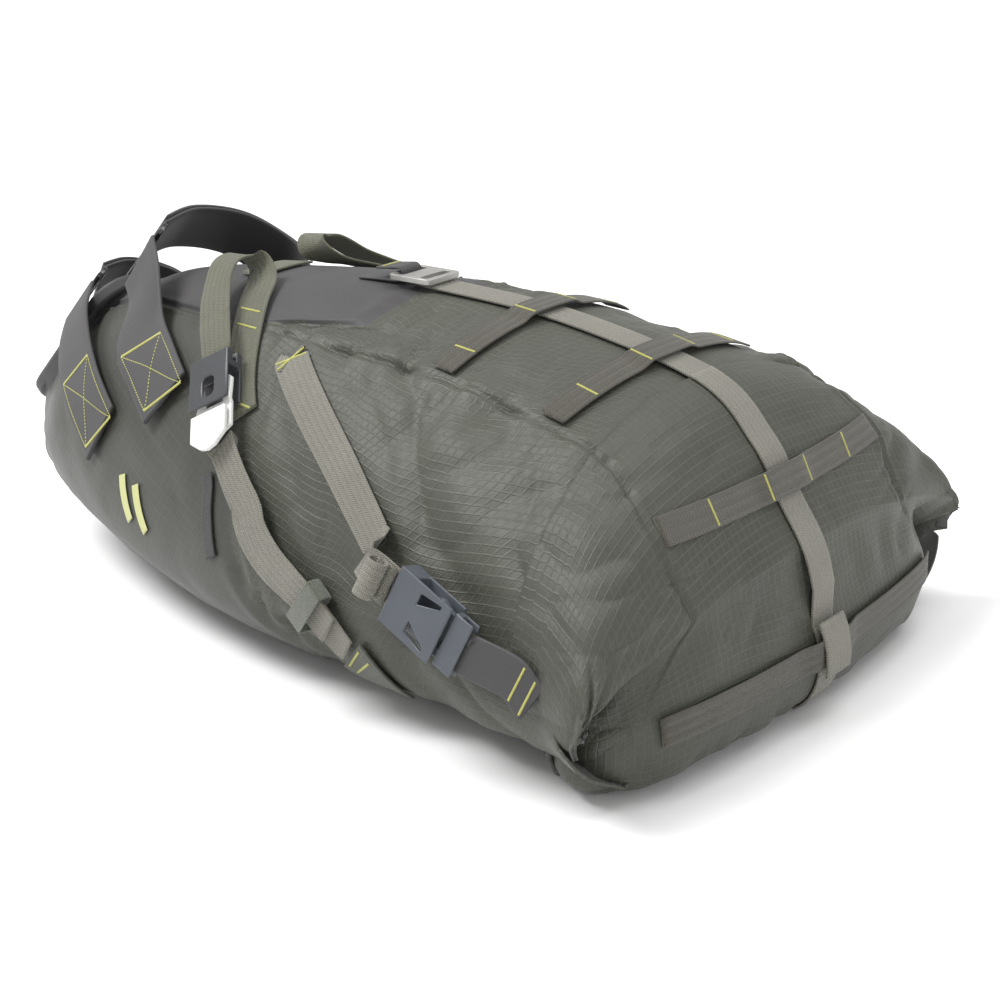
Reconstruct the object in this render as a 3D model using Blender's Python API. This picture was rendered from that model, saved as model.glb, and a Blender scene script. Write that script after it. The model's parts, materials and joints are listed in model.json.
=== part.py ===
"""Roll-closure bicycle saddle bag, modelled as separate sewn panels, straps and buckles.

Frame: metres, +Z up, +X towards the rolled rear end, -Y the bag's left side.
The bag rests on its flat underside at z = 0, and the origin is under its middle.
"""
import math

import bmesh
import bpy
from mathutils import Matrix, Vector

# ---------------------------------------------------------------- driving dimensions
LEFT, RIGHT = -1, 1
SIDES = {"left": LEFT, "right": RIGHT}

# Ten ribs from the nose to the closure: bottom x, bottom z, top x, top z, half width, taper
RIBS = [Vector(row) for row in (
    (-0.282, 0.070, -0.202, 0.150, 0.020, -0.15),
    (-0.236, 0.038, -0.140, 0.171, 0.063, -0.17),
    (-0.144, 0.016, -0.060, 0.180, 0.099, -0.18),
    (-0.024, 0.000, 0.016, 0.183, 0.124, -0.20),
    (0.106, -0.003, 0.116, 0.179, 0.138, -0.19),
    (0.211, -0.003, 0.208, 0.160, 0.152, -0.15),
    (0.260, -0.002, 0.242, 0.133, 0.167, -0.12),
    (0.266, 0.006, 0.258, 0.106, 0.168, -0.13),
    (0.251, 0.009, 0.274, 0.078, 0.160, -0.10),
    (0.236, 0.010, 0.282, 0.034, 0.150, -0.07),
)]
TOP_ROUND = 2.25          # superellipse power above the widest line
BOTTOM_SQUARE = 3.0       # and below it, where the bag sags flat
WALL = 0.0025             # laminated shell cloth with its lining
SEAM_HALF = 39.0          # degrees from the top line down to each top seam
BASE_HALF = 140.0         # degrees from the top line down to each bottom seam
NOSE_SEAM, NOSE_SEAM_SLOPE = 0.275, 0.0013
NOSE_TOP_END = 0.360
MOUTH, FLAP_START, FLAP_END, RIM_RISE = 0.553, 0.560, 0.920, 0.200
SEAM_GAP_S, SEAM_GAP_U = 0.0009, 0.30
FLAP_HINGE = (0.2115, 0.0, 0.1590)     # middle of the fold across the top that the hood opens about

WEB_WIDTH, WEB_THICK = 0.020, 0.0014
BAND_WIDTH, BAND_THICK = 0.015, 0.0012
SEAT_STRAP_WIDTH, SEAT_STRAP_THICK = 0.038, 0.0022
LABEL_WIDTH, LABEL_THICK = 0.009, 0.0008
LIFT = 0.0009             # clear space under a strap that lies on the cloth

# Closure roll, left half from ear tip to middle: x, y, z, upright radius, level radius
ROLL = [Vector(row) for row in (
    (0.226, -0.134, 0.0200, 0.015, 0.0100),
    (0.243, -0.138, 0.0260, 0.023, 0.0140),
    (0.257, -0.112, 0.0310, 0.028, 0.0165),
    (0.262, -0.065, 0.0310, 0.028, 0.0180),
    (0.264, 0.000, 0.0300, 0.027, 0.0185),
)]

BUCKLE_WIDTH, BUCKLE_THICK, PLATE = 0.030, 0.0112, 0.0016
COLOURS = {
    "shell": (0.135, 0.140, 0.115), "nose": (0.115, 0.120, 0.100), "hypalon": (0.140, 0.137, 0.140),
    "web": (0.360, 0.350, 0.310), "band": (0.085, 0.078, 0.062), "buckle": (0.160, 0.175, 0.195),
    "white": (0.820, 0.820, 0.800), "metal": (0.520, 0.520, 0.520), "gloss": (0.020, 0.020, 0.022),
    "plastic": (0.050, 0.052, 0.055), "label": (0.030, 0.030, 0.032), "hook": (0.045, 0.050, 0.035),
}


# ---------------------------------------------------------------- the bag's surface
def smooth(rows, place):
    """Catmull-Rom value through rows, for place from 0 to 1."""
    spot = min(max(place, 0.0), 1.0) * (len(rows) - 1)
    first = min(int(spot), len(rows) - 2)
    t = spot - first
    a, b, c, d = (rows[min(max(k, 0), len(rows) - 1)] for k in range(first - 1, first + 3))
    return 0.5 * (2 * b + (c - a) * t + (2 * a - 5 * b + 4 * c - d) * t ** 2 + (3 * b - a - 3 * c + d) * t ** 3)


def signed_power(value, power):
    return math.copysign(abs(value) ** power, value)


def bare_point(s, u):
    """Point of the shell: s runs nose to closure, u is degrees from +Y over the top."""
    bottom_x, bottom_z, top_x, top_z, half, taper = smooth(RIBS, s)
    angle = math.radians(u)
    power = 2 / (TOP_ROUND if math.sin(angle) > 0 else BOTTOM_SQUARE)
    across = signed_power(math.cos(angle), power)
    rise = signed_power(math.sin(angle), power)
    x = (bottom_x + top_x) / 2 + (top_x - bottom_x) / 2 * rise
    z = (bottom_z + top_z) / 2 + (top_z - bottom_z) / 2 * rise
    return Vector((x, half * (1 + taper * rise) * across, max(z, 0.0)))


def along_s(s, u):
    """Unit direction along the bag at a point, nose to closure."""
    low, high = max(s - 0.004, 0.0), min(s + 0.004, 1.0)
    return (bare_point(high, u) - bare_point(low, u)).normalized()


def outward(s, u):
    """Unit direction out of the shell at a point."""
    around = bare_point(s, u + 1.0) - bare_point(s, u - 1.0)
    return around.cross(along_s(s, u)).normalized()


def skin(s, u, lift=0.0):
    return bare_point(s, u) + outward(s, u) * lift


def side_skin(side, s, u, lift=0.0):
    """The same point on either side, with u given for the left one."""
    point = skin(s, u, lift)
    return point if side == LEFT else Vector((point.x, -point.y, point.z))


def side_vector(side, vector):
    return Vector((vector[0], vector[1] if side == LEFT else -vector[1], vector[2]))


def nose_seam(u):
    """Place of the seam between the nose panels and the main panels."""
    below = abs((u - 90 + 180) % 360 - 180) - SEAM_HALF
    return NOSE_SEAM + NOSE_SEAM_SLOPE * min(max(below, 0.0), BASE_HALF - SEAM_HALF)


# ---------------------------------------------------------------- building solids
def finish(name, colour, roughness, metallic=0.0):
    material = bpy.data.materials.new(name)
    material.use_nodes = True
    shader = material.node_tree.nodes["Principled BSDF"]
    shader.inputs["Base Color"].default_value = (*COLOURS[colour], 1.0)
    shader.inputs["Roughness"].default_value = roughness
    shader.inputs["Metallic"].default_value = metallic
    return material


def solid(name, mesh_data, colour, roughness=0.8, metallic=0.0, place=None, pivot=None):
    """Object from a bmesh, placed by a matrix, with its origin on its pivot."""
    matrix = place or Matrix.Identity(4)
    origin = Vector(pivot) if pivot is not None else matrix.translation
    mesh_data.transform(Matrix.Translation(-origin) @ matrix)
    bmesh.ops.recalc_face_normals(mesh_data, faces=mesh_data.faces)
    if mesh_data.calc_volume(signed=True) < 0:
        bmesh.ops.reverse_faces(mesh_data, faces=mesh_data.faces)
    mesh = bpy.data.meshes.new(name)
    mesh_data.to_mesh(mesh)
    mesh_data.free()
    mesh.shade_smooth()
    mesh.set_sharp_from_angle(angle=math.radians(35))
    mesh.materials.append(finish(name, colour, roughness, metallic))
    item = bpy.data.objects.new(name, mesh)
    item.location = origin
    bpy.context.collection.objects.link(item)
    return item


def loft(sections):
    """Closed solid through loops that all have the same number of points."""
    shape = bmesh.new()
    loops = [[shape.verts.new(point) for point in section] for section in sections]
    count = len(loops[0])
    for one, two in zip(loops, loops[1:]):
        for k in range(count):
            shape.faces.new((one[k], one[(k + 1) % count], two[(k + 1) % count], two[k]))
    shape.faces.new(reversed(loops[0]))
    shape.faces.new(loops[-1])
    return shape


def patch(s_range, u_range, rows, cols, lift=0.0, wall=WALL):
    """Thick piece of the shell between two lines along it and two across it."""
    shape = bmesh.new()
    layers = []
    for depth in (lift, lift - wall):
        grid = []
        for j in range(cols + 1):
            u = u_range[0] + (u_range[1] - u_range[0]) * j / cols
            first, last = s_range(u)
            steps = [first + (last - first) * i / rows for i in range(rows + 1)]
            grid.append([shape.verts.new(skin(s, u, depth)) for s in steps])
        layers.append(grid)
    outer, inner = layers
    for j in range(cols):
        for i in range(rows):
            for grid, step in ((outer, 1), (inner, -1)):
                corners = (grid[j][i], grid[j][i + 1], grid[j + 1][i + 1], grid[j + 1][i])
                shape.faces.new(corners[::step])
    rim = [(0, i) for i in range(rows)] + [(j, rows) for j in range(cols)]
    rim += [(cols, i) for i in range(rows, 0, -1)] + [(j, 0) for j in range(cols, 0, -1)]
    for (j, i), (jj, ii) in zip(rim, rim[1:] + rim[:1]):
        shape.faces.new((outer[j][i], inner[j][i], inner[jj][ii], outer[jj][ii]))
    return shape


def ribbon(points, width, thick, side_hint):
    """Flat strap along points; side_hint gives the way its width lies at each one."""
    sections = []
    for k, point in enumerate(points):
        ahead = (points[min(k + 1, len(points) - 1)] - points[max(k - 1, 0)]).normalized()
        hint = side_hint[k] if isinstance(side_hint, list) else side_hint
        side = (hint - ahead * hint.dot(ahead)).normalized() * width / 2
        out = side.cross(ahead).normalized() * thick / 2
        sections.append([point - side - out, point + side - out, point + side + out, point - side + out])
    return loft(sections)


def curve_through(rows, count):
    return [smooth(rows, k / (count - 1)) for k in range(count)]


def strap_on_skin(side, stops, count, width=WEB_WIDTH, thick=WEB_THICK, crosswise=True):
    """Strap over the shell through (s, u, lift) stops, which are for the left side.

    The lift is to the strap's near face.  crosswise keeps its width square to its own run,
    and otherwise its width lies along the bag.
    """
    spots = curve_through([Vector(stop) for stop in stops], count)
    points = [side_skin(side, s, u, lift + thick / 2) for s, u, lift in spots]
    outs = [side_vector(side, outward(s, u)) for s, u, lift in spots]
    if not crosswise:
        return ribbon(points, width, thick, [side_vector(side, along_s(s, u)) for s, u, lift in spots])
    hints = []
    for k, out in enumerate(outs):
        ahead = points[min(k + 1, count - 1)] - points[max(k - 1, 0)]
        hints.append(out.cross(ahead).normalized())
    return ribbon(points, width, thick, hints)


def frame_at(origin, ahead, out):
    """Matrix with X along a piece, Z out of the bag and Y across."""
    x_axis = Vector(ahead).normalized()
    z_axis = (Vector(out) - x_axis * Vector(out).dot(x_axis)).normalized()
    y_axis = z_axis.cross(x_axis)
    matrix = Matrix((x_axis, y_axis, z_axis)).transposed().to_4x4()
    matrix.translation = Vector(origin)
    return matrix


def outline(points, thick, holes=()):
    """Flat plate in XY, extruded evenly about z = 0, with holes right through it."""
    shape = bmesh.new()
    for loop in (points, *holes):
        verts = [shape.verts.new((x, y, -thick / 2)) for x, y in loop]
        for one, two in zip(verts, verts[1:] + verts[:1]):
            shape.edges.new((one, two))
    bmesh.ops.triangle_fill(shape, use_beauty=True, edges=shape.edges[:])
    made = bmesh.ops.extrude_face_region(shape, geom=shape.faces[:])
    raised = [item for item in made["geom"] if isinstance(item, bmesh.types.BMVert)]
    bmesh.ops.translate(shape, verts=raised, vec=(0, 0, thick))
    return shape


def side_profile(points, width):
    """Solid whose XZ outline is given and which is width across in Y."""
    shape = outline([(x, z) for x, z in points], width)
    shape.transform(Matrix.Rotation(math.radians(90), 4, "X"))
    return shape


def rounded(length, width, radius, centre=(0.0, 0.0), steps=3):
    """Rectangle with round corners, anticlockwise."""
    points = []
    for turn, (sx, sy) in enumerate(((1, -1), (1, 1), (-1, 1), (-1, -1))):
        cx = centre[0] + sx * (length / 2 - radius)
        cy = centre[1] + sy * (width / 2 - radius)
        for k in range(steps + 1):
            angle = math.radians(-90 + 90 * turn + 90 * k / steps)
            points.append((cx + radius * math.cos(angle), cy + radius * math.sin(angle)))
    return points


def cut(item, cutter_mesh, place):
    """Boolean cut with a hidden wire cutter."""
    cutter = solid(item.name + "_cutter", cutter_mesh, "plastic", place=place)
    cutter.hide_render = True
    cutter.display_type = "WIRE"
    change = item.modifiers.new("cut", "BOOLEAN")
    change.operation = "DIFFERENCE"
    change.object = cutter


# ---------------------------------------------------------------- shell and closure
def build_panels():
    front = 0.004
    nose_end = (lambda u: (front, nose_seam(u) - SEAM_GAP_S))
    body = (lambda u: (nose_seam(u) + SEAM_GAP_S, MOUTH))
    seam_l, seam_r = 90 + SEAM_HALF, 90 - SEAM_HALF
    base_l, base_r = 90 + BASE_HALF, 90 - BASE_HALF
    gap = SEAM_GAP_U
    solid("nose_left_panel", patch(nose_end, (seam_l + gap, 270 - gap), 8, 13), "nose", 0.7)
    solid("nose_right_panel", patch(nose_end, (-90 + gap, seam_r - gap), 8, 13), "nose", 0.7)
    top_start = NOSE_TOP_END + SEAM_GAP_S
    nose_top = (lambda u: (front, NOSE_TOP_END - SEAM_GAP_S))
    solid("nose_top_panel", patch(nose_top, (seam_r + gap, seam_l - gap), 11, 8), "hypalon", 0.75)
    solid("left_side_panel", patch(body, (seam_l + gap, base_l - gap), 8, 11), "shell")
    solid("right_side_panel", patch(body, (base_r + gap, seam_r - gap), 8, 11), "shell")
    solid("top_panel", patch(lambda u: (top_start, MOUTH), (seam_r + gap, seam_l - gap), 6, 8), "shell")
    solid("bottom_panel", patch(body, (base_l + gap, base_r + 360 - gap), 5, 8), "shell")
    board = patch(lambda u: (0.06, 0.34), (236, 304), 6, 4, lift=-WALL - 0.0035, wall=0.0015)
    solid("nose_stiffener", board, "plastic", 0.5)


def build_seatpost_pad():
    """Flat faced pad that closes the nose and bears on the seatpost."""
    low, high = bare_point(0, 270), bare_point(0, 90)
    upward = (high - low).normalized()
    forward = Vector((-upward.z, 0, upward.x))
    middle = (low + high) / 2
    place = frame_at(middle + forward * 0.0053, upward, forward)
    face = rounded((high - low).length + 0.006, 0.042, 0.018, steps=5)
    solid("seatpost_pad", outline(face, 0.0093), "hypalon", 0.8, place=place)


def roll_point(place, angle, lift=0.0):
    """Point on the closure roll: place -1 left ear, 0 middle, 1 right ear; angle up from level."""
    row = smooth(ROLL, 1 - abs(place))
    ahead = smooth(ROLL, 1 - abs(place) + 0.01) - smooth(ROLL, 1 - abs(place) - 0.01)
    out = Vector((-ahead.y, ahead.x, 0)).normalized() * -1
    if out.x < 0 and abs(out.x) > abs(out.y):
        out = -out
    if row.y < -0.05 and out.y > 0:
        out = -out
    turn = math.radians(angle)
    point = Vector(row[:3]) + out * (row[4] + lift) * math.cos(turn) + Vector((0, 0, 1)) * (
        row[3] + lift) * math.sin(turn)
    return side_vector(LEFT if place <= 0 else RIGHT, point)


def build_flap():
    """Rear hood, the roll under its rim and the strip that stiffens the roll."""
    rim = (lambda u: (FLAP_START, FLAP_END - RIM_RISE * (abs(u - 90) / 100) ** 6))
    hood = patch(rim, (-10, 190), 9, 18)
    solid("rear_flap", hood, "shell", pivot=FLAP_HINGE)
    stops = [k / 12 - 1 for k in range(25)]
    rings = [[roll_point(stop, 360 * k / 14) for k in range(14)] for stop in stops]
    solid("closure_roll", loft(rings), "shell", 0.75, pivot=FLAP_HINGE)
    strip = outline(rounded(0.011, 0.150, 0.003), 0.0012)
    middle = roll_point(0, 90)
    place = Matrix.Translation(middle + Vector((-0.004, 0, 0.0050)))
    solid("roll_stiffener", strip, "plastic", 0.4, place=place, pivot=FLAP_HINGE)


# ---------------------------------------------------------------- lash bands and centre strap
CENTRE_START = 0.352
UNDER, OVER = LIFT, LIFT + WEB_THICK + 0.0012


def band_lift(y):
    """Bands lie on the cloth and step over the centre strap."""
    step = min(max((0.026 - abs(y)) / 0.011, 0.0), 1.0)
    return UNDER + (OVER - UNDER) * step * step * (3 - 2 * step)


def band_on_skin(edge_s, middle_s, reach=37.0, count=25):
    """Band from seam to seam, whose middle may sit further along the bag."""
    points, hints = [], []
    for k in range(count):
        turn = 2 * k / (count - 1) - 1
        u = 90 - reach * turn
        s = middle_s + (edge_s - middle_s) * turn * turn
        lift = band_lift(bare_point(s, u).y) + BAND_THICK / 2
        points.append(skin(s, u, lift))
        hints.append(along_s(s, u))
    return ribbon(points, BAND_WIDTH, BAND_THICK, hints)


def build_bands():
    solid("lash_band_1", band_on_skin(0.434, 0.440), "band")
    solid("lash_band_2", band_on_skin(0.514, 0.521), "band")
    solid("lash_band_3", band_on_skin(0.690, 0.742), "band", pivot=FLAP_HINGE)
    points = []
    for k in range(25):
        stop = -0.56 + 1.12 * k / 24
        level = roll_point(stop, 10)
        points.append(roll_point(stop, 10, band_lift(level.y) + 0.0004 + BAND_THICK / 2))
    solid("lash_band_4", ribbon(points, BAND_WIDTH, BAND_THICK, Vector((0, 0, 1))), "band", pivot=FLAP_HINGE)


def build_centre_strap():
    front = strap_on_skin(LEFT, ((CENTRE_START, 90, LIFT), (0.45, 90, LIFT), (MOUTH - 0.002, 90, LIFT)), 15)
    solid("centre_strap_front", front, "web")
    points = [skin(FLAP_START + 0.002 + (FLAP_END - FLAP_START) * k / 12, 90, LIFT + WEB_THICK / 2)
              for k in range(13)]
    points += [roll_point(0, angle, LIFT + WEB_THICK / 2) for angle in (40, 22, 5, -12, -29, -46, -60)]
    strap = ribbon(points, WEB_WIDTH, WEB_THICK, Vector((0, 1, 0)))
    solid("centre_strap_rear", strap, "web", pivot=FLAP_HINGE)
    lift = OVER + BAND_THICK + 0.0031
    tab = [roll_point(0, angle, lift) for angle in (36, 24, 12, 0, -10)]
    keeper = ribbon(tab, WEB_WIDTH + 0.003, 0.0016, Vector((0, 1, 0)))
    solid("centre_tail_keeper", keeper, "web", pivot=FLAP_HINGE)


LOCK_BAR = 0.0054         # height of the ladder lock's front bar over the cloth


def build_ladder_lock():
    bar_s = 0.338
    bar = skin(bar_s, 90, LOCK_BAR)
    place = frame_at(bar, along_s(0.355, 90), outward(0.355, 90))
    face = rounded(0.029, 0.027, 0.003, (0.0125, 0.0))
    slots = [rounded(0.0050, 0.020, 0.0015, (0.0040, 0.0)), rounded(0.0055, 0.0208, 0.0015, (0.0205, 0.0))]
    solid("ladder_lock", outline(face, 0.0028, slots), "metal", 0.35, 0.8, place=place, pivot=bar)
    out, ahead = outward(bar_s, 90), along_s(bar_s, 90)
    loop_radius = 0.0037
    points = [skin(0.306 + 0.007 * k, 90, LOCK_BAR - loop_radius) for k in range(5)]
    centre = bar
    for angle in (-60, -30, 0, 30, 60, 90):
        turn = math.radians(angle)
        points.append(centre + ahead * loop_radius * math.cos(turn) + out * loop_radius * math.sin(turn))
    points += [centre - ahead * back + out * loop_radius for back in (0.005, 0.010, 0.015)]
    solid("lock_anchor", ribbon(points, 0.016, 0.0013, Vector((0, 1, 0))), "hypalon", 0.75)


# ---------------------------------------------------------------- compression buckles
BUCKLE_AHEAD = Vector((0.925, -0.14, -0.352)).normalized()
FEMALE_AT = (0.478, 181.0, 0.0055)
FEMALE_LENGTH, FEMALE_BLOCK = 0.036, 0.011
PRONG_REACH = 0.014


def buckle_place(side, shift=0.0):
    """Frame of a compression buckle: X towards the closure, Z out of the bag."""
    s, u, gap = FEMALE_AT
    origin = skin(s, u, gap + BUCKLE_THICK / 2) + BUCKLE_AHEAD * shift
    out = outward(s, u)
    return frame_at(side_vector(side, origin), side_vector(side, BUCKLE_AHEAD), side_vector(side, out))


def clip_profile(length, block, thick, plate, slit):
    """Two plates joined by a block, with a slit in the block's back for a sewn strap."""
    half, inner = thick / 2, thick / 2 - plate
    back = [(0.0, -half), (length, -half), (length, -inner), (block, -inner), (block, inner),
            (length, inner), (length, half), (0.0, half)]
    if slit:
        back += [(0.0, 0.0015), (slit, 0.0015), (slit, -0.0015), (0.0, -0.0015)]
    return back


def build_compression(name, side):
    female = solid("female_buckle_" + name,
                   side_profile(clip_profile(FEMALE_LENGTH, FEMALE_BLOCK, BUCKLE_THICK, PLATE, 0),
                                BUCKLE_WIDTH), "buckle", 0.35, place=buckle_place(side))
    tunnel = outline([(-0.002, -0.0112), (FEMALE_BLOCK + 0.002, -0.0112),
                      (FEMALE_BLOCK + 0.002, 0.0112), (-0.002, 0.0112)], 0.0040)
    cut(female, tunnel, buckle_place(side))
    for edge in (-1, 1):
        window = [(0.0165, 0.0045 * edge), (0.030, 0.0105 * edge), (0.030, 0.0125 * edge),
                  (0.0165, 0.0105 * edge)]
        cut(female, outline(window, 0.008), buckle_place(side) @ Matrix.Translation((0, 0, 0.0062)))

    stops = ((0.338, 139, LIFT), (0.372, 150, LIFT), (0.405, 161, LIFT), (0.432, 170.5, 0.0012),
             (0.452, 176.5, 0.0035))
    spots = curve_through([Vector(stop) for stop in stops], 17)
    points = [side_skin(side, s, u, lift + WEB_THICK / 2) for s, u, lift in spots]
    points += [buckle_place(side) @ Vector((along, 0, 0)) for along in (-0.026, -0.013, 0.0, 0.009)]
    hints = [side_vector(side, outward(s, u)).cross(points[k + 1] - points[max(k - 1, 0)]).normalized()
             for k, (s, u, lift) in enumerate(spots)]
    across = buckle_place(side).to_3x3() @ Vector((0, 1, 0))
    hints = [hint if hint.dot(across) > 0 else -hint for hint in hints] + [across] * 4
    solid("compression_strap_" + name, ribbon(points, WEB_WIDTH, WEB_THICK, hints), "web")

    coil = []
    for k in range(23):
        turn = math.radians(-90 + 200 * k / 11)
        radius = 0.0085 - 0.00011 * k * 3
        coil.append(Vector((radius * 0.9 * math.cos(turn) - 0.013, 0, radius * 0.62 * math.sin(turn) + 0.0085)))
    coil = [Vector((-0.003, 0, 0.0031))] + coil
    solid("strap_tail_roll_" + name, ribbon(coil, WEB_WIDTH, WEB_THICK * 0.8, Vector((0, 1, 0))), "web",
          place=buckle_place(side))

    block = [(0.0, -0.003), (0.012, -0.003), (0.012, -0.0015), (0.004, -0.0015), (0.004, 0.0015),
             (0.012, 0.0015), (0.012, 0.003), (0.0, 0.003)]
    male_at = buckle_place(side, FEMALE_LENGTH + 0.0006)
    solid("male_buckle_" + name, side_profile(block, BUCKLE_WIDTH - 0.002), "buckle", 0.35,
          place=male_at, pivot=FLAP_HINGE)
    for label, edge in (("upper", 1), ("lower", -1)):
        shape = [(-0.0005, 0.0065), (-0.0005, 0.0115), (-0.006, 0.0125), (-PRONG_REACH + 0.004, 0.0140),
                 (-PRONG_REACH, 0.0125), (-PRONG_REACH, 0.0100), (-0.007, 0.0085)]
        arm = outline([(x, y * edge) for x, y in shape], 0.0032)
        flip = 1 if side == LEFT else -1
        mirror = Matrix.Diagonal((1, flip, 1, 1))
        arm.transform(mirror)
        pivot = male_at @ Vector((-0.0005, 0.009 * edge * flip, 0))
        solid("prong_" + label + "_" + name, arm, "buckle", 0.35, place=male_at, pivot=pivot)

    held = [male_at @ Vector((along, 0, 0)) for along in (0.0050, 0.0090, 0.0135)]
    lay = [side_skin(side, s, u, lift) for s, u, lift in ((0.5655, 185.5, 0.0058), (0.580, 187.0, 0.0045))]
    tab = curve_through(held + lay, 11)
    solid("compression_tab_" + name, ribbon(tab, 0.021, 0.0016, across), "hypalon", 0.75, pivot=FLAP_HINGE)


# ---------------------------------------------------------------- saddle rail straps
RAIL_AHEAD = Vector((0.49, -0.57, -0.66)).normalized()
RAIL_FEMALE_AT = (0.284, 147.0, 0.0050)
RAIL_LENGTH, RAIL_BLOCK, RAIL_STRAP_THICK = 0.030, 0.010, 0.0016


def rail_place(side, shift=0.0, rise=0.0):
    s, u, gap = RAIL_FEMALE_AT
    out = outward(s + 0.02, u + 8)
    origin = skin(s, u, gap + BUCKLE_THICK / 2) + RAIL_AHEAD * shift + out * rise
    return frame_at(side_vector(side, origin), side_vector(side, RAIL_AHEAD), side_vector(side, out))


def build_rail_strap(name, side):
    stops = [(0.324, 158, LIFT), (0.302, 148, LIFT), (0.276, 135, LIFT), (0.248, 121, 0.0016),
             (0.226, 109, 0.0030), (0.210, 104, 0.0090), (0.204, 107, 0.0155), (0.206, 114, 0.0170),
             (0.222, 125, 0.0120), (0.248, 135, 0.0100)]
    spots = curve_through([Vector(stop) for stop in stops], 34)
    points = [side_skin(side, s, u, lift + RAIL_STRAP_THICK / 2) for s, u, lift in spots]
    points += [rail_place(side) @ Vector((along, 0, 0)) for along in (-0.006, 0.004)]
    hints = [side_vector(side, along_s(s, u)) for s, u, lift in spots]
    hints += [rail_place(side).to_3x3() @ Vector((0, -1 if side == LEFT else 1, 0))] * 2
    fixed = [hint if hint.x > 0 else -hint for hint in hints]
    solid("rail_strap_" + name, ribbon(points, WEB_WIDTH, RAIL_STRAP_THICK, fixed), "web")


def build_rail_buckle(name, side):
    profile = clip_profile(RAIL_LENGTH, RAIL_BLOCK, BUCKLE_THICK, PLATE, 0.006)
    female = solid("rail_female_" + name, side_profile(profile, 0.027), "plastic", 0.4, place=rail_place(side))
    window = rounded(0.012, 0.008, 0.003, (0.019, 0.0))
    cut(female, outline(window, 0.008), rail_place(side) @ Matrix.Translation((0, 0, 0.0062)))
    fork = [(0.0, -0.0125), (0.014, -0.0125), (0.017, -0.006), (0.017, 0.006), (0.014, 0.0125), (0.0, 0.0125),
            (-0.003, 0.0115), (-0.015, 0.0125), (-0.017, 0.0105), (-0.015, 0.0080), (-0.002, 0.0065),
            (-0.002, -0.0065), (-0.015, -0.0080), (-0.017, -0.0105), (-0.015, -0.0125), (-0.003, -0.0115)]
    male_at = rail_place(side, RAIL_LENGTH + 0.0008)
    solid("rail_male_" + name, outline(fork, 0.0028), "white", 0.35, place=male_at)
    lever_at = rail_place(side, RAIL_LENGTH + 0.0038, 0.0040)
    face = [(0.0005, -0.0120), (0.016, -0.0120), (0.022, -0.005), (0.0235, 0.0), (0.022, 0.005),
            (0.016, 0.0120), (0.0005, 0.0120)]
    solid("cam_lever_" + name, outline(face, 0.0030), "white", 0.35, place=lever_at)


def build_rail_webbing(name, side):
    stops = ((0.437, 203, 0.0026), (0.425, 197, 0.0028), (0.413, 192.5, 0.0030), (0.398, 189.5, 0.0026),
             (0.378, 186, 0.0018), (0.352, 179, 0.0020), (0.330, 170.5, 0.0028))
    lower = curve_through([Vector(stop) for stop in stops], 19)
    back = ((0.3262, 168.6, 0.0042), (0.3285, 168.3, 0.0060), (0.356, 177.5, 0.0052), (0.382, 184.4, 0.0050),
            (0.400, 188.4, 0.0050), (0.415, 192.0, 0.0052), (0.428, 197.0, 0.0052))
    upper = curve_through([Vector(stop) for stop in back], 18)
    spots = lower + upper
    points = [side_skin(side, s, u, lift + WEB_THICK / 2) for s, u, lift in spots]
    hints = []
    for s, u, lift in spots:
        run = skin(s + 0.0066, u + 2) - skin(s - 0.0066, u - 2)
        hints.append(side_vector(side, outward(s, u).cross(run).normalized()))
    solid("rail_webbing_" + name, ribbon(points, 0.018, WEB_THICK, hints), "web")

    s, u = 0.414, 192.3
    ahead = side_skin(side, s + 0.01, u + 4.0) - side_skin(side, s - 0.01, u - 4.0)
    centre = side_skin(side, s, u, 0.0053)
    place = frame_at(centre, ahead, side_vector(side, outward(s, u)))
    band = outline(rounded(0.0272, 0.0088, 0.0015), 0.012, [rounded(0.0252, 0.0074, 0.0010)])
    band.transform(Matrix.Rotation(math.radians(90), 4, "Z") @ Matrix.Rotation(math.radians(90), 4, "X"))
    solid("webbing_keeper_" + name, band, "hook", 0.9, place=place)

    stops = ((0.4375, 205.5, LIFT), (0.444, 210, LIFT), (0.450, 216, LIFT), (0.455, 224, LIFT))
    wing = strap_on_skin(side, stops, 7, 0.030, 0.0016)
    solid("wing_tab_" + name, wing, "nose")


def build_saddle_strap():
    solid("saddle_cross_strap",
          strap_on_skin(LEFT, ((0.196, 78, LIFT), (0.198, 90, LIFT), (0.196, 102, LIFT)), 9, crosswise=False),
          "web")


# ---------------------------------------------------------------- seatpost straps
POST_AXIS = Vector((0.72, 0, 0.69))
SEAT_STRAPS = {
    "lower": {"sewn": ((0.190, 181.5, 0.0016), (0.140, 178, 0.0022), (0.088, 172, 0.0040)),
              "left_free": ((-0.223, -0.033, 0.130),),
              "ring": (-0.2405, -0.004, 0.1440),
              "right_free": ((-0.238, 0.022, 0.148), (-0.226, 0.043, 0.139))},
    "upper": {"sewn": ((0.245, 163.5, 0.0030), (0.205, 156, 0.0034), (0.168, 148, 0.0048)),
              "left_free": ((-0.143, -0.044, 0.168),),
              "ring": (-0.1660, -0.019, 0.1820),
              "right_free": ((-0.170, 0.016, 0.1890), (-0.160, 0.046, 0.1810), (-0.141, 0.064, 0.1640))},
}


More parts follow.
